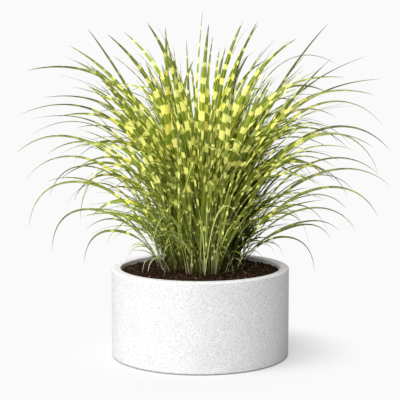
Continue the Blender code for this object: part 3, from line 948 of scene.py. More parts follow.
def plan_crown(count, seed, radius, packing, depth_lean, widths, sizes, turns):
    """Blades with roots over the whole crown.

    Roots lie on a sunflower spiral, at the radius times (number / count)^packing, so that a packing
    over 0.5 puts more of them near the middle. Those at the front and back are drawn in, so that
    their blades spread like a fan. Each heads outward, and to the front and back by the depth lean
    only. The further out and the more sideways, the lower its form may be, and those that face the
    front are shorter.
    """

    def blade(number, draw):
        """The blade of this number on the spiral."""
        outness = ((number + 0.5) / count) ** packing
        angle = number * GOLDEN_ANGLE + FIRST_ANGLE
        narrowed = 1 - DRAWN_IN * outness * abs(math.sin(angle))
        x = CROWN_SHIFT + radius * outness * narrowed * math.cos(angle)
        x += draw.normal(0, ROOT_JITTER)
        y = radius * outness * math.sin(angle) + draw.normal(0, ROOT_JITTER)
        root = Vector((x, y, ROOT_HEIGHT))
        heading = math.atan2(math.sin(angle) * depth_lean, math.cos(angle)) + draw.normal(0, turns)
        sideways = abs(math.cos(heading)) ** LOW_POWER
        low = outness * (LOW_ANYWHERE + LOW_AT_SIDES * sideways) * draw.uniform()
        place = min(max(1 - low + draw.normal(0, PLACE_JITTER), 0.0), LAST_PLACE)
        size = draw.uniform(*sizes) * (1 - FRONT_SHARE * max(-math.sin(heading), 0))
        ends = shrunk(pick(forms, place), size, size * draw.uniform(*CROWN_REACHES))
        return from_soil(root, heading, ends, draw.uniform(*widths))

    return planted(count, seed, blade)


inner_blades = plan_crown(*INNER_GROUP)
fine_blades = plan_crown(*FINE_GROUP)
print("inner blades:", len(inner_blades), "fine blades:", len(fine_blades))

# %% Low sprays at both sides
SIDE_BLADES = 56
SIDE_SEED = 33
SIDE_RADII = (0.060, 0.098)
SIDE_TURNS = 0.55
SIDE_PLACES = (0.35, 0.80)
SIDE_SIZES = (0.18, 0.40)
SIDE_REACHES = (0.8, 1.0)
SIDE_WIDTHS = (0.0045, 0.0080)
OWN_TURNS = 0.2


def side_blade(number, draw):
    """One of the outline's low forms at one side, smaller, turned a little to front or back."""
    around = math.pi * (number % 2) + draw.normal(0, SIDE_TURNS)
    root = ring_root(draw.uniform(*SIDE_RADII), around)
    form = pick(forms, draw.uniform(*SIDE_PLACES))
    size = draw.uniform(*SIDE_SIZES)
    ends = shrunk(form, size, size * draw.uniform(*SIDE_REACHES))
    heading = around + draw.normal(0, OWN_TURNS)
    return from_soil(root, heading, ends, draw.uniform(*SIDE_WIDTHS))


side_blades = planted(SIDE_BLADES, SIDE_SEED, side_blade)
print("side blades:", len(side_blades))

# %% Upright blades in the very middle
MIDDLE_BLADES = 52
MIDDLE_SEED = 5
MIDDLE_RADIUS = 0.045
MIDDLE_SIZES = (0.70, 0.90)
MIDDLE_REACHES = (0.15, 0.75)
MIDDLE_TURNS = 0.4
MIDDLE_WIDTHS = (0.0135, 0.0185)

tall_forms = [form for form in forms if form[1][1] > UPRIGHT_HEIGHT]


def middle_blade(number, draw):
    """An upright blade from the very middle. The blades lean a little to all sides."""
    angle = number * GOLDEN_ANGLE
    root = ring_root(MIDDLE_RADIUS * math.sqrt((number + 0.5) / MIDDLE_BLADES), angle)
    size = draw.uniform(*MIDDLE_SIZES)
    form = tall_forms[draw.integers(len(tall_forms))]
    ends = shrunk(form, size, draw.uniform(*MIDDLE_REACHES))
    heading = angle + draw.normal(0, MIDDLE_TURNS)
    return from_soil(root, heading, ends, draw.uniform(*MIDDLE_WIDTHS))


inner_blades += planted(MIDDLE_BLADES, MIDDLE_SEED, middle_blade)
print("inner and middle blades:", len(inner_blades))

# %% Thin shaded blades at the right
THIN_BLADES = 40
THIN_SEED = 8
THIN_RADII = (0.030, 0.085)
THIN_TURNS = 0.40
THIN_PLACES = (0.40, 0.85)
THIN_SIZES = (0.68, 0.92)
THIN_REACHES = (0.7, 1.0)
THIN_WIDTHS = (0.0034, 0.0078)


def thin_blade(number, draw):
    """A thin blade at the right, where the clump is densest, between the outline's arcs."""
    around = draw.normal(0, THIN_TURNS)
    root = ring_root(draw.uniform(*THIN_RADII), around)
    size = draw.uniform(*THIN_SIZES)
    form = pick(forms, draw.uniform(*THIN_PLACES))
    ends = shrunk(form, size, size * draw.uniform(*THIN_REACHES))
    heading = around + draw.normal(0, OWN_TURNS)
    return from_soil(root, heading, ends, draw.uniform(*THIN_WIDTHS))


thin_blades = planted(THIN_BLADES, THIN_SEED, thin_blade)
print("thin blades:", len(thin_blades))

# %% [markdown]
# ## Young leaves, wisps and uprights
# Low down, between the stems, come short young leaves. Most are narrow, and they arch out over the
# soil. Thin wisps curl down to it, green above and straw-coloured where they lie. The wisps that
# show in front are placed by a short list, like the outline, and so are a few upright blades that
# fill the gap beside the tall middle one. The young leaves are scattered round the crown's edge.

# %% Wisps and uprights, listed one by one
# Each row: root (x, y), turn towards the back in degrees, then bend x, bend z, tip x and tip z in
# centimetres, and width in millimetres.
LEFT_WISPS = (
    ((-2.4, -8.0), -74, (-8.9, 30.6, -10.9, 24.0, 3.2)),
    ((-8.0, -4.2), -60, (-11.8, 21.9, -13.0, 18.6, 3.6)),
    ((-6.8, -5.0), -60, (-10.2, 21.8, -11.8, 18.6, 3.8)),
    ((-4.6, -3.2), -72, (-6.9, 21.7, -8.1, 17.6, 4.4)),
    ((-8.6, -1.6), -20, (-12.8, 23.6, -15.9, 23.4, 2.8)),
    ((-9.4, 0.6), 20, (-12.6, 25.4, -15.8, 24.2, 2.6)),
    ((-8.4, -3.0), -40, (-13.6, 24.6, -16.6, 20.8, 2.4)),
    ((-3.0, -7.8), -78, (-6.0, 27.2, -8.4, 21.4, 2.4)),
)
RIGHT_WISPS = (
    ((1.0, -9.7), -70, (6.6, 33.6, 9.7, 24.4, 3.4)),
    ((-1.2, -4.6), -76, (0.2, 21.5, 0.9, 17.9, 4.4)),
    ((1.8, -5.2), -56, (5.2, 23.2, 7.5, 18.0, 4.2)),
    ((5.6, -6.0), -58, (8.2, 21.8, 9.4, 20.3, 2.6)),
    ((8.4, -2.6), -24, (11.4, 23.6, 14.2, 21.6, 3.0)),
    ((9.6, -0.2), 8, (14.4, 25.0, 16.8, 22.4, 2.8)),
    ((8.2, -1.6), -30, (11.6, 23.4, 14.0, 22.0, 2.4)),
    ((3.4, -7.6), -70, (6.6, 30.6, 9.4, 26.4, 2.6)),
    ((6.2, -4.8), -52, (10.4, 24.8, 12.6, 19.8, 2.4)),
)
# Upright blades that fill the gap beside the tall middle one, in the same form.
LEFT_UPRIGHTS = (
    ((-1.6, -1.0), -40, (-2.9, 64.0, -3.3, 71.1, 10.0)),
    ((-1.4, -1.6), -50, (-2.3, 59.0, -2.6, 66.9, 8.0)),
    ((-2.2, -0.6), -20, (-3.7, 58.0, -4.3, 66.6, 9.0)),
    ((-2.6, 0.6), 20, (-4.9, 61.0, -6.0, 69.5, 9.0)),
    ((-1.9, -2.2), -45, (-3.3, 55.0, -4.1, 61.8, 10.0)),
)
RIGHT_UPRIGHTS = (((0.2, -1.8), -30, (0.9, 58.0, 1.2, 65.9, 8.0)),)


def plan_listed(left, right):
    """The blades of two lists, for the left and the right, which start at the soil."""
    rows = []
    for table, outward in ((left, math.pi), (right, 0.0)):
        for (x, y), turn, (*ends, width) in table:
            root = Vector((x * CM, y * CM, ROOT_HEIGHT))
            heading = side_heading(outward, turn)
            form = blade_form(root, heading, *listed_ends(*ends), True)
            rows.append(from_soil(root, heading, form, width * MM))
    return rows


wisps = plan_listed(LEFT_WISPS, RIGHT_WISPS)
thin_blades += plan_listed(LEFT_UPRIGHTS, RIGHT_UPRIGHTS)
print("wisps:", len(wisps), "thin blades and uprights:", len(thin_blades))

# %% Young leaves round the crown's edge
YOUNG_LEAVES = 150
YOUNG_SEED = 15
YOUNG_RADII = (0.060, 0.096)
YOUNG_NARROWED = 0.80
YOUNG_POINTED = 0.45
YOUNG_TURNS = 0.6
YOUNG_SLOPES = (0.3, 0.9)
# The form of a kind of short leaf: its bend's heights, how much its tip droops, and its widths.
YOUNG_FORM = ((0.05, 0.17), 0.80, (0.0026, 0.0060))
MOST_LEAF_REACH = 0.105
# Over 1, more of the short leaves are low.
MOSTLY_LOW = 1.4
# A short leaf's tip: its height without droop, how much it droops, and its reach, in bends.
TIP_RISE = 1.45
TIP_DROOPS = (0.4, 1.2)
TIP_REACHES = (1.5, 2.1)


def short_leaf(root, heading, slope, form, draw):
    """A short leaf. The more it slopes, the more its droop pulls the tip down."""
    (lowest, highest), most_droop, widths = form
    height = lowest + (highest - lowest) * draw.uniform() ** MOSTLY_LOW
    reach = min(height * slope, MOST_LEAF_REACH)
    tip_rise = TIP_RISE - most_droop * min(slope, 1.0) * draw.uniform(*TIP_DROOPS)
    tip = (reach * draw.uniform(*TIP_REACHES), ROOT_HEIGHT + height * tip_rise)
    ends = ((reach, ROOT_HEIGHT + height), tip)
    return from_soil(root, heading, ends, draw.uniform(*widths))


def young_leaf(number, draw):
    """A short leaf at the crown's edge. The leaves go all round it."""
    angle = number * GOLDEN_ANGLE
    radius = draw.uniform(*YOUNG_RADII)
    x = CROWN_SHIFT + radius * YOUNG_NARROWED * math.cos(angle)
    y = radius * math.sin(angle) * (1 - YOUNG_POINTED * abs(math.cos(angle)))
    heading = angle + draw.normal(0, YOUNG_TURNS)
    slope = draw.uniform(*YOUNG_SLOPES)
    return short_leaf(Vector((x, y, ROOT_HEIGHT)), heading, slope, YOUNG_FORM, draw)


short_leaves = planted(YOUNG_LEAVES, YOUNG_SEED, young_leaf)
print("young leaves:", len(short_leaves))

# %% Leaves that spread like a fan at the front and back
FAN_LEAVES = 150
FAN_SEED = 27
FAN_HALF_WIDTH = 0.070
FAN_DEPTHS = (0.060, 0.098)
FAN_POINTED = 0.80
FAN_POWER = 1.3
FAN_SPREAD = 1.15
FAN_TURNS = 0.45
FAN_SLOPES = (0.25, 1.00)
SLOPE_SPREAD = (0.7, 1.1)
FAN_FORM = ((0.10, 0.26), 0.45, (0.0030, 0.0072))


def fan_leaf(number, draw):
    """A leaf at the front or back that spreads to a side, over the upright stems."""
    facing = (-1, 1)[number % 2]
    across = draw.uniform(-1, 1)
    drawn_in = 1 - FAN_POINTED * abs(across) ** FAN_POWER
    depth = facing * draw.uniform(*FAN_DEPTHS) * drawn_in
    root = Vector((CROWN_SHIFT + across * FAN_HALF_WIDTH, depth, ROOT_HEIGHT))
    heading = facing * (math.pi / 2 - across * FAN_SPREAD) + draw.normal(0, FAN_TURNS)
    least, most = FAN_SLOPES
    slope = least + (most - least) * abs(across) * draw.uniform(*SLOPE_SPREAD)
    return short_leaf(root, heading, slope, FAN_FORM, draw)


short_leaves += planted(FAN_LEAVES, FAN_SEED, fan_leaf)
print("young leaves and fans:", len(short_leaves))

# %% [markdown]
# ## The surface of a blade
# A blade is a strip folded along its midrib. Its lower part wraps the stem as a sheath, then it
# opens, grows to its full width and runs out to a hair-fine tip. On the grid the rows are stations
# along the blade, and the columns go once round its thin section: over the top from edge to edge,
# then back underneath. Each blade also rolls about its line, so that from any side some show their
# face and some their edge.

# %% Blade surfaces
BLADE_THICKNESS = 0.00045
LEAST_THICKNESS = 0.25
# Under this half width the blade gets thinner too.
FULL_THICKNESS_FROM = 0.003
WIDEST = 0.48
FOOT_SHARE = 0.42
TIP_SHARE = 0.02
THIN_TIP = 0.10
TIP_FALL = 0.8
THIN_TIP_FALL = 0.25
# The fold along the midrib: its least depth, the share that opens, how soon, and its curve.
LEAST_FOLD = 0.14
FOLD_OPENED = 0.75
OPENED_BY = 2.5
FOLD_POWER = 1.3
ROLLED_BY = 4
TWIST_POWER = 1.5
# Each section: shares across of its columns, and whether a column is underneath.
WIDE_SECTION = ((-1, -0.5, 0, 0.5, 1, 0.5, 0, -0.5), (0, 0, 0, 0, 0, 1, 1, 1))
NARROW_SECTION = ((-1, 0, 1, 0), (0, 0, 0, 1))


def width_share(t):
    """A blade's width along it: a cubed sine up to its widest, then a fall to a long thin tip."""
    rise = FOOT_SHARE + (1 - FOOT_SHARE) * np.sin(np.clip(t / WIDEST, 0, 1) * math.pi / 2) ** 3
    left = 1 - np.clip((t - WIDEST) / (1 - WIDEST), 0, 1)
    fall = (1 - THIN_TIP) * left**TIP_FALL + THIN_TIP * left**THIN_TIP_FALL
    return np.maximum(np.where(t < WIDEST, rise, fall), TIP_SHARE)


def unit(vectors):
    """Vectors made one long."""
    return vectors / np.maximum(np.linalg.norm(vectors, axis=-1, keepdims=True), 1e-9)


def level_side(heading):
    """Level vectors (blade, 1, 3), square to each heading."""
    side = np.stack((np.sin(heading), -np.cos(heading), np.zeros(len(heading))), axis=1)
    return side[:, None]


def blade_grid(path, t, heading, width, section, roll, twist, fold):
    """Points (blade, station, column, 3): a folded strip carried along its path.

    The side vector is level and square to the heading, turned about the path by the roll plus the
    twist times t^1.5. A column at share c across stands at c times half the width along it, and is
    lifted by the fold times |c|^1.3.
    """
    along = unit(np.gradient(path, axis=1))
    side = level_side(heading)
    side = unit(side - along * (side * along).sum(-1, keepdims=True))
    above = np.cross(side, along)
    angle = roll[:, None] * np.clip(t * ROLLED_BY, 0, 1) + twist[:, None] * t**TWIST_POWER
    cosine, sine = np.cos(angle)[..., None], np.sin(angle)[..., None]
    side, above = side * cosine + above * sine, above * cosine - side * sine
    half = (width[:, None] / 2 * width_share(t))[..., None, None]
    depth = fold[:, None] * (1.0 - FOLD_OPENED * np.clip(t * OPENED_BY, 0, 1)) + LEAST_FOLD
    across, under = (np.array(values)[None, None, :, None] for values in section)
    thickness = BLADE_THICKNESS * np.clip(half / FULL_THICKNESS_FROM, LEAST_THICKNESS, 1)
    lift = half * depth[..., None, None] * np.abs(across) ** FOLD_POWER - under * thickness
    return path[:, :, None] + side[:, :, None] * half * across + above[:, :, None] * lift


print("width along a blade:", np.round(width_share(np.linspace(0, 1, 6)), 2).tolist())

# %% The path of a blade
SHEATH_STATIONS = 5
SHEATH_DEPTH = 0.006
SHEATH_DRAWN_IN = (0.10, 0.28)
SHEATH_CLIMB = 0.04
SWAY_SPREAD = 0.5
SWAY_CURVE = (1.4, 0.6)
FOLDED_SHARE = 0.03
FOLDED_AT = (0.62, 0.80)
HANGING_SHARE = 0.9


def blade_paths(rows, stations, most_sway, draw):
    """Paths (blade, station, 3) up the stem and along the blade, t at each station, and headings.

    The path sways sideways by a share of its length times t^2, and a few blades have a sharp fold,
    past which the rest hangs down: beyond it the way gained upwards is taken down instead.
    """
    columns = [np.array([row[column] for row in rows]) for column in range(5)]
    root, foot, heading, bend, tip = columns
    count = len(rows)
    ahead = np.stack((np.cos(heading), np.sin(heading)), axis=1)
    gone = ((foot - root)[:, :2] * ahead).sum(axis=1)
    shares = np.linspace(0, 1, stations)
    line = blade_lines(foot, gone, heading, bend, tip, shares)
    length = np.linalg.norm(line[:, -1] - line[:, 0], axis=1)
    sway = (draw.normal(0, SWAY_SPREAD, count) * most_sway * length)[:, None]
    sway = sway * shares**2 * (SWAY_CURVE[0] - SWAY_CURVE[1] * shares)
    line = line + level_side(heading) * sway[..., None]
    folded = (draw.uniform(0, 1, count) < FOLDED_SHARE) & (tip[:, 1] > bend[:, 1]) & (most_sway > 0)
    at = (draw.uniform(*FOLDED_AT, count) * (stations - 1)).astype(int)
    past = (np.arange(stations)[None] > at[:, None]) & folded[:, None]
    top = line[np.arange(count), at][:, None, 2]
    hanging = top - HANGING_SHARE * np.abs(line[..., 2] - top)
    line[..., 2] = np.where(past, hanging, line[..., 2])
    climb = np.linspace(0, 1, SHEATH_STATIONS, endpoint=False)[None, :, None]
    drawn = 1 - np.interp(foot[:, 2] - root[:, 2], (0, SHEATH_CLIMB), SHEATH_DRAWN_IN)
    low = root * np.stack((drawn, drawn, np.ones(count)), axis=1) - (0, 0, SHEATH_DEPTH)
    path = np.concatenate((low[:, None] * (1 - climb) + foot[:, None] * climb, line), axis=1)
    t = np.concatenate((np.zeros(SHEATH_STATIONS), shares))[None].repeat(count, axis=0)
    return path, t, heading


# %% [markdown]
# ## What a blade's finish has to know
# The finish reads numbers stored at the points: how far along the blade and across it a point is,
# its place among the pale bands, and the blade's own tone. The bands of neighbouring blades start
# near one height, which gives the rows of bands that the real clump shows. One more number says how
# deep inside the clump a point is, and the finish darkens the blade there as painted shade, because
# little light gets there. The painted shade is heavier at the clump's right, so the cone that stands
# for its outside is moved that way.

# %% How deep inside the clump, for its painted shade
# The cone and span of the painted shade inside the clump; the shift moves it to the right.
CLUMP_FOOT = 0.095
CLUMP_SLOPE = 0.48
CLUMP_FLATNESS = 1.2
PAINTED_SHADE_SHIFT = 0.050
SHADE_FOOT = 0.035
SHADE_SLOPE = 0.30
SHADED_BELOW = 0.58
SHADED_FADE = 0.22


def painted_shade_depth(points):
    """How deep inside the clump points lie: 0 at its outside and top, 1 well inside it low down.

    The clump's outside is a cone, flatter to the front and back than to the sides, whose axis is
    moved to the right, so that the painted shade is heavier there. The depth is counted against a
    span that grows with the height.
    """
    up = points[:, 2] - ROOT_HEIGHT
    aside = np.hypot(points[:, 0] - PAINTED_SHADE_SHIFT, points[:, 1] * CLUMP_FLATNESS)
    inward = CLUMP_FOOT + CLUMP_SLOPE * up - aside
    span = SHADE_FOOT + SHADE_SLOPE * np.maximum(up, 0)
    below = (SHADED_BELOW - points[:, 2]) / SHADED_FADE
    return np.clip(inward / span, 0, 1) * np.clip(below, 0, 1)


heights = np.array([(0.0, 0.0, ROOT_HEIGHT + up) for up in (0.1, 0.2, 0.3)])
print("shade 10, 20 and 30 cm over the crown:", np.round(painted_shade_depth(heights), 2).tolist())

# %% Points and values of many blades
BAND_PERIOD = 0.043
PERIOD_SPREAD = 0.13
BAND_ROW_HEIGHT = 0.555
# Where in a band the row's height falls, and by how much that differs from blade to blade.
BAND_START = (0.3, 0.18)
TWIST_SPREAD = 0.3
FOLDS = (0.30, 0.65)


def strip_values(rows, stations, section, tones, banded, rolls, most_sway, draw):
    """The points of many blades and what their finish needs at each point."""
    path, t, heading = blade_paths(rows, stations, most_sway, draw)
    count, total = t.shape
    width = np.array([row[5] for row in rows])
    roll = draw.uniform(*rolls, count) * draw.choice((-1, 1), count)
    twist = draw.normal(0, TWIST_SPREAD, count)
    fold = draw.uniform(*FOLDS, count)
    points = blade_grid(path, t, heading, width, section, roll, twist, fold).reshape(-1, 3)
    steps = np.linalg.norm(np.diff(path, axis=1), axis=2)
    metres = np.concatenate((np.zeros((count, 1)), np.cumsum(steps, axis=1)), axis=1)
    period = BAND_PERIOD * draw.normal(1.0, PERIOD_SPREAD, count)
    row_station = np.abs(path[..., 2] - BAND_ROW_HEIGHT).argmin(axis=1)
    from_row = metres - metres[np.arange(count), row_station][:, None]
    bands = from_row / period[:, None] + draw.normal(*BAND_START, count)[:, None]
    columns = len(section[0])
    values = {
        "band": np.repeat(bands, columns),
        "along": np.repeat(t, columns),
        "metres": np.repeat(metres, columns),
        "tone": np.repeat(draw.uniform(*tones, count), total * columns),
        "banded": np.full(count * total * columns, banded),
        "across": np.tile(section[0], count * total),
        # Painted shade: how deep inside the clump each point lies.
        "deep": painted_shade_depth(points),
    }
    return points, values


# %% One mesh from groups of blades
def strip_faces(count, total, columns, first):
    """The faces of many equal blades whose points start at a number: walls, foot and tip caps."""
    walls = grid_faces(total, columns)
    foot_cap = np.arange(columns)[None, ::-1]
    tip_cap = (total - 1) * columns + np.arange(columns)[None]
    caps_and_walls = (walls, foot_cap, tip_cap)
    return [first + repeat_faces(faces, count, total * columns) for faces in caps_and_walls]


def sharpen(piece, lines):
    """Mark the edges between following points of each line (blade, station, line) as sharp."""
    mesh = piece.data
    pairs = [np.stack((line[:, :-1], line[:, 1:]), axis=-1).reshape(-1, 2) for line in lines]
    wanted = np.sort(np.concatenate(pairs), axis=1)
    ends = np.empty(len(mesh.edges) * 2, np.int64)
    mesh.edges.foreach_get("vertices", ends)
    ends = np.sort(ends.reshape(-1, 2), axis=1)
    count = len(mesh.vertices)
    marked = np.isin(ends[:, 0] * count + ends[:, 1], wanted[:, 0] * count + wanted[:, 1])
    layer = mesh.attributes.new("sharp_edge", "BOOLEAN", "EDGE")
    layer.data.foreach_set("value", marked)


def blade_piece(name, groups, draw):
    """One mesh of groups of blades.

    Each group is rows, stations, section, tones, how wide its bands are, rolls and sway.
    """
    points, faces, edges, first = [], [], [], 0
    values = {}
    for rows, stations, section, *looks in groups:
        if not rows:
            continue
        strip, own = strip_values(rows, stations, section, *looks, draw)
        columns = len(section[0])
        total = stations + SHEATH_STATIONS
        faces += strip_faces(len(rows), total, columns, first)
        numbers = first + np.arange(len(strip)).reshape(len(rows), total, columns)
        edges.append(numbers[:, :, np.abs(section[0]) == 1])
        for label, stored in own.items():
            values.setdefault(label, []).append(stored)
        points.append(strip)
        first += len(strip)
    piece = make_mesh(name, np.concatenate(points), faces)
    for label, stored in values.items():
        give_values(piece, label, np.concatenate(stored))
    sharpen(piece, edges)
    return piece


# %% Put the blades into one piece for each solid shoot
BLADE_SEED = 18
WIDE_GRID = (32, WIDE_SECTION)
NARROW_GRID = (22, NARROW_SECTION)
OUTLINE_ROLLS = (0.55, 1.05)
ROLLS = (0.35, 1.05)
MOST_SWAY = 0.045
# A tone of 0 is the lightest green, and one of 1 the deepest.
WIDE_TONES = (0.0, 0.8)
NARROW_TONES = (0.1, 1.0)
YOUNG_TONES = (0.1, 0.9)
# The thin blades at the right take only deep tones, partly as painted shade where the clump shades
# itself.
THIN_TONES = (0.5, 1.0)
# How wide the pale bands are, from 0 for none to 1 for those of the wide blades.
WIDE_BANDS = 1.0
FINE_BANDS = 0.75
YOUNG_BANDS = 0.55
NO_BANDS = 0.0


def by_home(rows):
    """The blades in one list for each solid shoot: the one that stands nearest to their root."""
    places = np.array([root for _, root, _ in shoots])
    homes = [[] for _ in shoots]
    for row in rows:
        homes[np.linalg.norm(places - row[1], axis=1).argmin()].append(row)
    return homes


grouped = [by_home(rows) for rows in (inner_blades, fine_blades + side_blades, short_leaves)]
draw = np.random.default_rng(BLADE_SEED)
leaf_pieces = []
for (name, _, grown), inner, fine, short in zip(shoots, *grouped):
    groups = (
        (grown, *WIDE_GRID, WIDE_TONES, WIDE_BANDS, OUTLINE_ROLLS, 0.0),
        (inner, *WIDE_GRID, WIDE_TONES, WIDE_BANDS, ROLLS, MOST_SWAY),
        (fine, *NARROW_GRID, NARROW_TONES, FINE_BANDS, ROLLS, MOST_SWAY),
        (short, *NARROW_GRID, YOUNG_TONES, YOUNG_BANDS, ROLLS, MOST_SWAY),
    )
    leaf_pieces.append((name, blade_piece(name.replace("shoot", "leaves"), groups, draw)))
wisp_groups = ((wisps, *WIDE_GRID, WIDE_TONES, NO_BANDS, ROLLS, 0.0),)
wisp_piece = blade_piece("front_wisps", wisp_groups, draw)
thin_groups = ((thin_blades, *NARROW_GRID, THIN_TONES, FINE_BANDS, ROLLS, MOST_SWAY),)
thin_piece = blade_piece("thin_blades", thin_groups, draw)
faces = sum(len(piece.data.polygons) for _, piece in leaf_pieces)
print("leaf pieces:", len(leaf_pieces), "faces:", faces)

# %% [markdown]
# ## The banded leaf
# Pale bands cross the blade every four or five centimetres, with ragged edges where the colour runs
# a little way up single veins. A number stored along the blade counts the bands; its fraction says
# where in a band a point is. Noise stretched along the veins moves the edge up and down. Low down
# and towards the tips the bands get narrower, and a random number for each band leaves some out.

# %% Bands and streaks
# A band's share of its period: low down, in full, and near the tip; and where it changes.
BAND_LOW = 0.22
BAND_SHARE = 0.55
BAND_OUT = 0.26
WIDENING_HEIGHTS = (0.24, 0.54)
NARROWING_ALONG = (0.55, 0.85)
BAND_RAGGED = 0.34
BAND_RISE = 0.04
BAND_FALL = 25.0
# The share of bands that are left out, low down and high up, and between which heights it falls.
BANDS_MISSING = (0.53, 0.28)
MISSING_HEIGHTS = (0.24, 0.50)
# Scales of noise across the blade, along it, and from blade to blade.
VEIN_STREAKS = (4.5, 30.0, 57.0)
FINE_STREAKS = (5.0, 12.0, 91.0)
BAND_CHANCES = (7.37, 3.61, 73.0)

leaf, tree, shader = new_finish("banded_leaf")
across = attribute(tree, "across")
metres = attribute(tree, "metres")
tone = attribute(tree, "tone")
along = attribute(tree, "along")
banded = attribute(tree, "banded")
height = far(tree, (0, 0, 1))


def streaks(tree, sideways, lengthways, scales, detail=3.0):
    """Noise that changes by three numbers, each with its own scale: across, along, and by blade."""
    where = tree.nodes.new("ShaderNodeCombineXYZ")
    for socket, value, scale in zip(where.inputs, (sideways, lengthways, tone), scales):
        put(tree, socket, times(tree, value, scale))
    return noise(tree, where.outputs[0], 1.0, detail, 0.6)


streak = streaks(tree, across, metres, VEIN_STREAKS)
fine_streak = streaks(tree, across, metres, FINE_STREAKS)
off_middle = maths(tree, "SUBTRACT", streak, 0.5)
ragged = maths(tree, "MULTIPLY_ADD", off_middle, BAND_RAGGED, attribute(tree, "band"))
fraction = maths(tree, "FRACT", ragged)
band_number = maths(tree, "FLOOR", ragged)
chance = streaks(tree, band_number, band_number, BAND_CHANCES, 0.0)
missing = spread(tree, height, *MISSING_HEIGHTS, *BANDS_MISSING)
there = maths(tree, "GREATER_THAN", chance, missing)
by_height = spread(tree, height, *WIDENING_HEIGHTS, BAND_LOW, BAND_SHARE)
by_length = spread(tree, along, *NARROWING_ALONG, BAND_SHARE, BAND_OUT)
share = times(tree, maths(tree, "MINIMUM", by_height, by_length), banded)
rise = spread(tree, fraction, 0.0, BAND_RISE)
fall = times(tree, maths(tree, "SUBTRACT", share, fraction), BAND_FALL, clamp=True)
band = times(tree, times(tree, rise, fall), there)
print("bands:", len(tree.nodes), "nodes")

# %% [markdown]
# ## The leaf's colours
# The green runs from light to deep by blade, dulls to olive on the outer parts that stand against
# the sky, and carries light streaks, partly the leaf's own veins and partly painted highlights. Near
# the stem it turns into the sheath's colour, which on most blades is dark, partly as painted shade at
# the clump's foot. The bands are lemon, cream low down, with a few golden ones and amber streaks. The
# midrib is a pale line, wider near the foot, where it is partly a painted highlight. Deep inside the
# clump everything is darkened as painted shade, and the feet of the stems darken, partly with a soil
# stain and partly as painted shade.

# %% Leaf colours
LEAF_GREEN = (0.250, 0.335, 0.014)
LEAF_DEEP = (0.055, 0.084, 0.001)
LEAF_OLIVE = (0.048, 0.053, 0.030)
# Where the outer part begins, in metres from the axis, and the tip, in shares of the length.
OUTER_REACH = (0.14, 0.32)
TIP_ALONG = (0.7, 1.0)
TIP_PART = 0.6
OLIVE_GREEN_PART = 0.9
OLIVE_BAND_PART = 0.82
SHEATH_PALE = (0.52, 0.60, 0.150)
# The dark sheath colour is partly the sheath's own and partly painted shade at the clump's foot.
SHEATH_DARK_AND_SHADE = (0.030, 0.042, 0.001)
SHEATH_METRES = (0.04, 0.20)
SHEATH_PART = 0.9
YOUNG_PALER = 0.30
PALE_FEET = (0.54, 0.66)
SECOND_DRAW = 13.7
# Each colour of a streak or a band: the range of the noise or number that brings it, and its part.
# Light streaks: partly the leaf's own veins, partly painted highlights.
STREAK_LIGHT_AND_HIGHLIGHT = (0.62, 0.70, 0.100)
LIGHT_RANGE = (0.50, 0.66, 0.0, 0.75)
BAND_LEMON = (0.99, 0.99, 0.270)
BAND_GOLD = (0.97, 0.88, 0.170)
GOLD_RANGE = (0.80, 0.98)
BAND_AMBER = (0.90, 0.70, 0.110)
AMBER_RANGE = (0.57, 0.68, 0.0, 0.50)
BAND_CREAM = (0.99, 0.99, 0.460)
CREAM_ALONG = (0.05, 0.40, 0.8, 0.0)

reach = far(tree, (1, 1, 0))
tip_part = spread(tree, along, *TIP_ALONG, 0.0, TIP_PART)
outer = maths(tree, "MAXIMUM", spread(tree, reach, *OUTER_REACH), tip_part)
green = blend(tree, tone, LEAF_GREEN, LEAF_DEEP)
green = blend(tree, times(tree, outer, OLIVE_GREEN_PART), green, LEAF_OLIVE)
# A second random number for each blade, from the far digits of its tone.
second = maths(tree, "FRACT", times(tree, tone, SECOND_DRAW))
pale_foot = maths(tree, "MULTIPLY_ADD", banded, -YOUNG_PALER, second)
# On most blades the sheath is dark: partly its own colour, partly painted shade at the foot.
sheath = blend(tree, spread(tree, pale_foot, *PALE_FEET), SHEATH_DARK_AND_SHADE, SHEATH_PALE)
green = blend(tree, spread(tree, metres, *SHEATH_METRES, SHEATH_PART, 0.0), green, sheath)
# Light streaks, partly the leaf's own veins and partly painted highlights.
green = blend(tree, spread(tree, fine_streak, *LIGHT_RANGE), green, STREAK_LIGHT_AND_HIGHLIGHT)
pale = blend(tree, spread(tree, second, *GOLD_RANGE), BAND_LEMON, BAND_GOLD)
pale = blend(tree, spread(tree, fine_streak, *AMBER_RANGE), pale, BAND_AMBER)
pale = blend(tree, spread(tree, along, *CREAM_ALONG), pale, BAND_CREAM)
pale = blend(tree, times(tree, outer, OLIVE_BAND_PART), pale, LEAF_OLIVE)
print("leaf colours:", len(tree.nodes), "nodes")

# %% Midrib, painted shade, stain and shine
MIDRIB_PALE_AND_HIGHLIGHT = (0.86, 0.90, 0.48)
# The midrib narrows and pales over these metres from the foot. Low down only some have it, wider and
# paler, partly the real midrib and partly a painted highlight.
RIB_METRES = (0.06, 0.30)
RIB_MIDDLE = 0.02
RIB_WIDTHS = (0.42, 0.16)
RIB_SOME = (0.48, 0.66)
RIB_HIGH_PALE = 0.45
BLACK = (0.0, 0.0, 0.0)
# Painted shade deep inside the clump: what is left of the green, and of the bands, at the deepest.
PAINTED_DEEP_SHADE = 0.30
PAINTED_DEEP_BAND_SHADE = 0.92
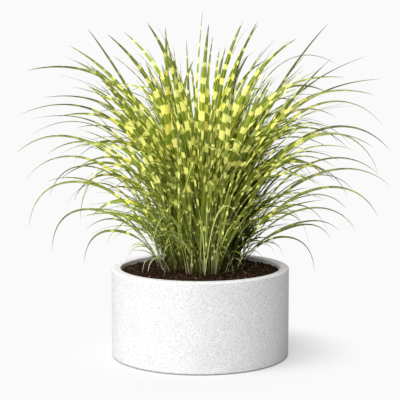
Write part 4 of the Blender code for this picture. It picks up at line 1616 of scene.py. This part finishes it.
# The lowest part of each stem is darkened, partly by a soil stain and partly as painted shade near
# the soil, fading upwards between these heights.
STAIN_AND_SHADE_HEIGHTS = (0.200, 0.246)
MOST_STAIN_AND_SHADE = 0.85
STEM_STAIN_AND_SHADE = (0.045, 0.036, 0.010)
LEAF_ROUGHNESS = (0.40, 0.58)
LEAF_GLOSS = 0.04
LEAF_GLOSS_TINT = (0.95, 1.0, 0.55, 1.0)
VEINS = 34.0
VEIN_HEIGHT = 0.00006

# Painted highlight in part: low down the midrib is wider and paler on some blades.
rib_wide = spread(tree, metres, *RIB_METRES, *RIB_WIDTHS)
rib_pale_and_highlight = spread(tree, metres, *RIB_METRES, spread(tree, second, *RIB_SOME), RIB_HIGH_PALE)
rib = spread(tree, maths(tree, "ABSOLUTE", across), RIB_MIDDLE, rib_wide, rib_pale_and_highlight, 0.0)
green = blend(tree, rib, green, MIDRIB_PALE_AND_HIGHLIGHT)
# Painted shade: the deeper inside the clump, the more the green and the bands are darkened to black.
deep = attribute(tree, "deep")
green = blend(tree, spread(tree, deep, 0.0, 1.0, 1.0, PAINTED_DEEP_SHADE), BLACK, green)
pale = blend(tree, spread(tree, deep, 0.0, 1.0, 1.0, PAINTED_DEEP_BAND_SHADE), BLACK, pale)
# Partly a soil stain, partly painted shade: the feet of the stems darken near the soil.
stain_and_shade = spread(tree, height, *STAIN_AND_SHADE_HEIGHTS, MOST_STAIN_AND_SHADE, 0.0)
colour = blend(tree, stain_and_shade, blend(tree, band, green, pale), STEM_STAIN_AND_SHADE)
put(tree, shader.inputs["Base Color"], colour)
roughness = spread(tree, streak, *MOST_NOISE, *LEAF_ROUGHNESS)
put(tree, shader.inputs["Roughness"], roughness)
shader.inputs["Specular IOR Level"].default_value = LEAF_GLOSS
shader.inputs["Specular Tint"].default_value = LEAF_GLOSS_TINT
bump(tree, shader, maths(tree, "SINE", times(tree, across, VEINS)), VEIN_HEIGHT, 0.5)
for name, piece in leaf_pieces:
    finished(piece, leaf, "leaf", name)
finished(thin_piece, leaf, "leaf")
print("leaf finish:", len(tree.nodes), "nodes")

# %% [markdown]
# ## The wisps' finish
# A wisp is too thin to show bands. It is green where it stands, paler on some, and dry and
# straw-coloured where it lies on the soil, so height alone chooses between the two.

# %% Wisp finish
WISP_GREEN = (0.33, 0.38, 0.12)
WISP_PALE = (0.62, 0.66, 0.22)
WISP_DRY = (0.84, 0.78, 0.48)
# Below the first height a wisp is dry, and over the second it is green.
WISP_DRY_HEIGHTS = (0.205, 0.240)
PALER_TONES = (0.55, 0.75)
WISP_ROUGHNESS = 0.5
WISP_GLOSS = 0.2

wisp, tree, shader = new_finish("pale_wisp")
paler = spread(tree, attribute(tree, "tone"), *PALER_TONES)
standing = blend(tree, paler, WISP_GREEN, WISP_PALE)
lying = spread(tree, far(tree, (0, 0, 1)), *WISP_DRY_HEIGHTS, 1.0, 0.0)
put(tree, shader.inputs["Base Color"], blend(tree, lying, standing, WISP_DRY))
shader.inputs["Roughness"].default_value = WISP_ROUGHNESS
shader.inputs["Specular IOR Level"].default_value = WISP_GLOSS
finished(wisp_piece, wisp, "leaf")
print("wisp finish:", len(tree.nodes), "nodes")

# %% [markdown]
# ## Light and floor
# Three wide lamps light the clump. One stands high at the left and shows the pot's roundness from
# bright to grey, one low at the front lifts the shadows between the blades, and a weak one lights
# it from behind. An even pale surround fills the rest. The floor and the surround look almost white
# to the camera, while they light the pot more gently than white paper would. Away from the pot the
# floor glows instead of taking shadows, as over-exposed paper does.

# %% Light and surround
SURROUND_SEEN = 0.955
SURROUND_LIGHT = 0.33
# Each light: name and strength, then in degrees how wide it looks, how far it stands from the
# front (to the left if under zero), and how high.
LIGHTS = (
    ("high_light", 3.30, 34, -62, 53),
    ("front_light", 2.40, 34, -12, 28),
    ("back_light", 0.80, 60, 170, 40),
)

scene = bpy.context.scene
scene.view_settings.view_transform = "Standard"
world = bpy.data.worlds.new("surround")
world.use_nodes = True
scene.world = world
tree = world.node_tree
seen = tree.nodes.new("ShaderNodeLightPath").outputs["Is Camera Ray"]
more_seen = SURROUND_SEEN - SURROUND_LIGHT
level = maths(tree, "MULTIPLY_ADD", seen, more_seen, SURROUND_LIGHT)
put(tree, tree.nodes["Background"].inputs["Strength"], level)
tree.nodes["Background"].inputs["Color"].default_value = (1.0, 1.0, 1.0, 1.0)

floor_light = SURROUND_LIGHT
for name, strength, wide, side, high in LIGHTS:
    lamp = bpy.data.objects.new(name, bpy.data.lights.new(name, "SUN"))
    lamp.data.angle = math.radians(wide)
    lamp.data.energy = strength
    lamp.rotation_euler = (math.radians(90 - high), 0, math.radians(side))
    scene.collection.objects.link(lamp)
    floor_light += strength / math.pi * math.sin(math.radians(high))
print("light on the floor:", round(floor_light, 3))

# %% The floor
FLOOR_SIZE = 40.0
FLOOR_GREY = 0.45
FLOOR_SHADE = 0.29
SHADOW_FADE = (0.21, 0.39)

half = FLOOR_SIZE / 2
corners = [(-half, -half, 0), (half, -half, 0), (half, half, 0), (-half, half, 0)]
floor_mesh = bpy.data.meshes.new("floor")
floor_mesh.from_pydata(corners, [], [(0, 1, 2, 3)])
floor = bpy.data.objects.new("floor", floor_mesh)
scene.collection.objects.link(floor)
paper = bpy.data.materials.new("white_floor")
paper.use_nodes = True
tree = paper.node_tree
tree.nodes.clear()
out = tree.nodes.new("ShaderNodeOutputMaterial")
matt = tree.nodes.new("ShaderNodeBsdfDiffuse")
glow = tree.nodes.new("ShaderNodeEmission")
seen = tree.nodes.new("ShaderNodeLightPath").outputs["Is Camera Ray"]
shade = spread(tree, far(tree, (1, 1, 0)), *SHADOW_FADE, FLOOR_SHADE, 0.0)
grey = maths(tree, "MULTIPLY_ADD", seen, maths(tree, "SUBTRACT", shade, FLOOR_GREY), FLOOR_GREY)
put(tree, matt.inputs["Color"], grey)
level = maths(tree, "MULTIPLY_ADD", shade, -floor_light, SURROUND_SEEN)
put(tree, glow.inputs["Strength"], times(tree, seen, level))
both = tree.nodes.new("ShaderNodeAddShader")
tree.links.new(matt.outputs[0], both.inputs[0])
tree.links.new(glow.outputs[0], both.inputs[1])
tree.links.new(both.outputs[0], out.inputs["Surface"])
floor_mesh.materials.append(paper)
print("floor laid")
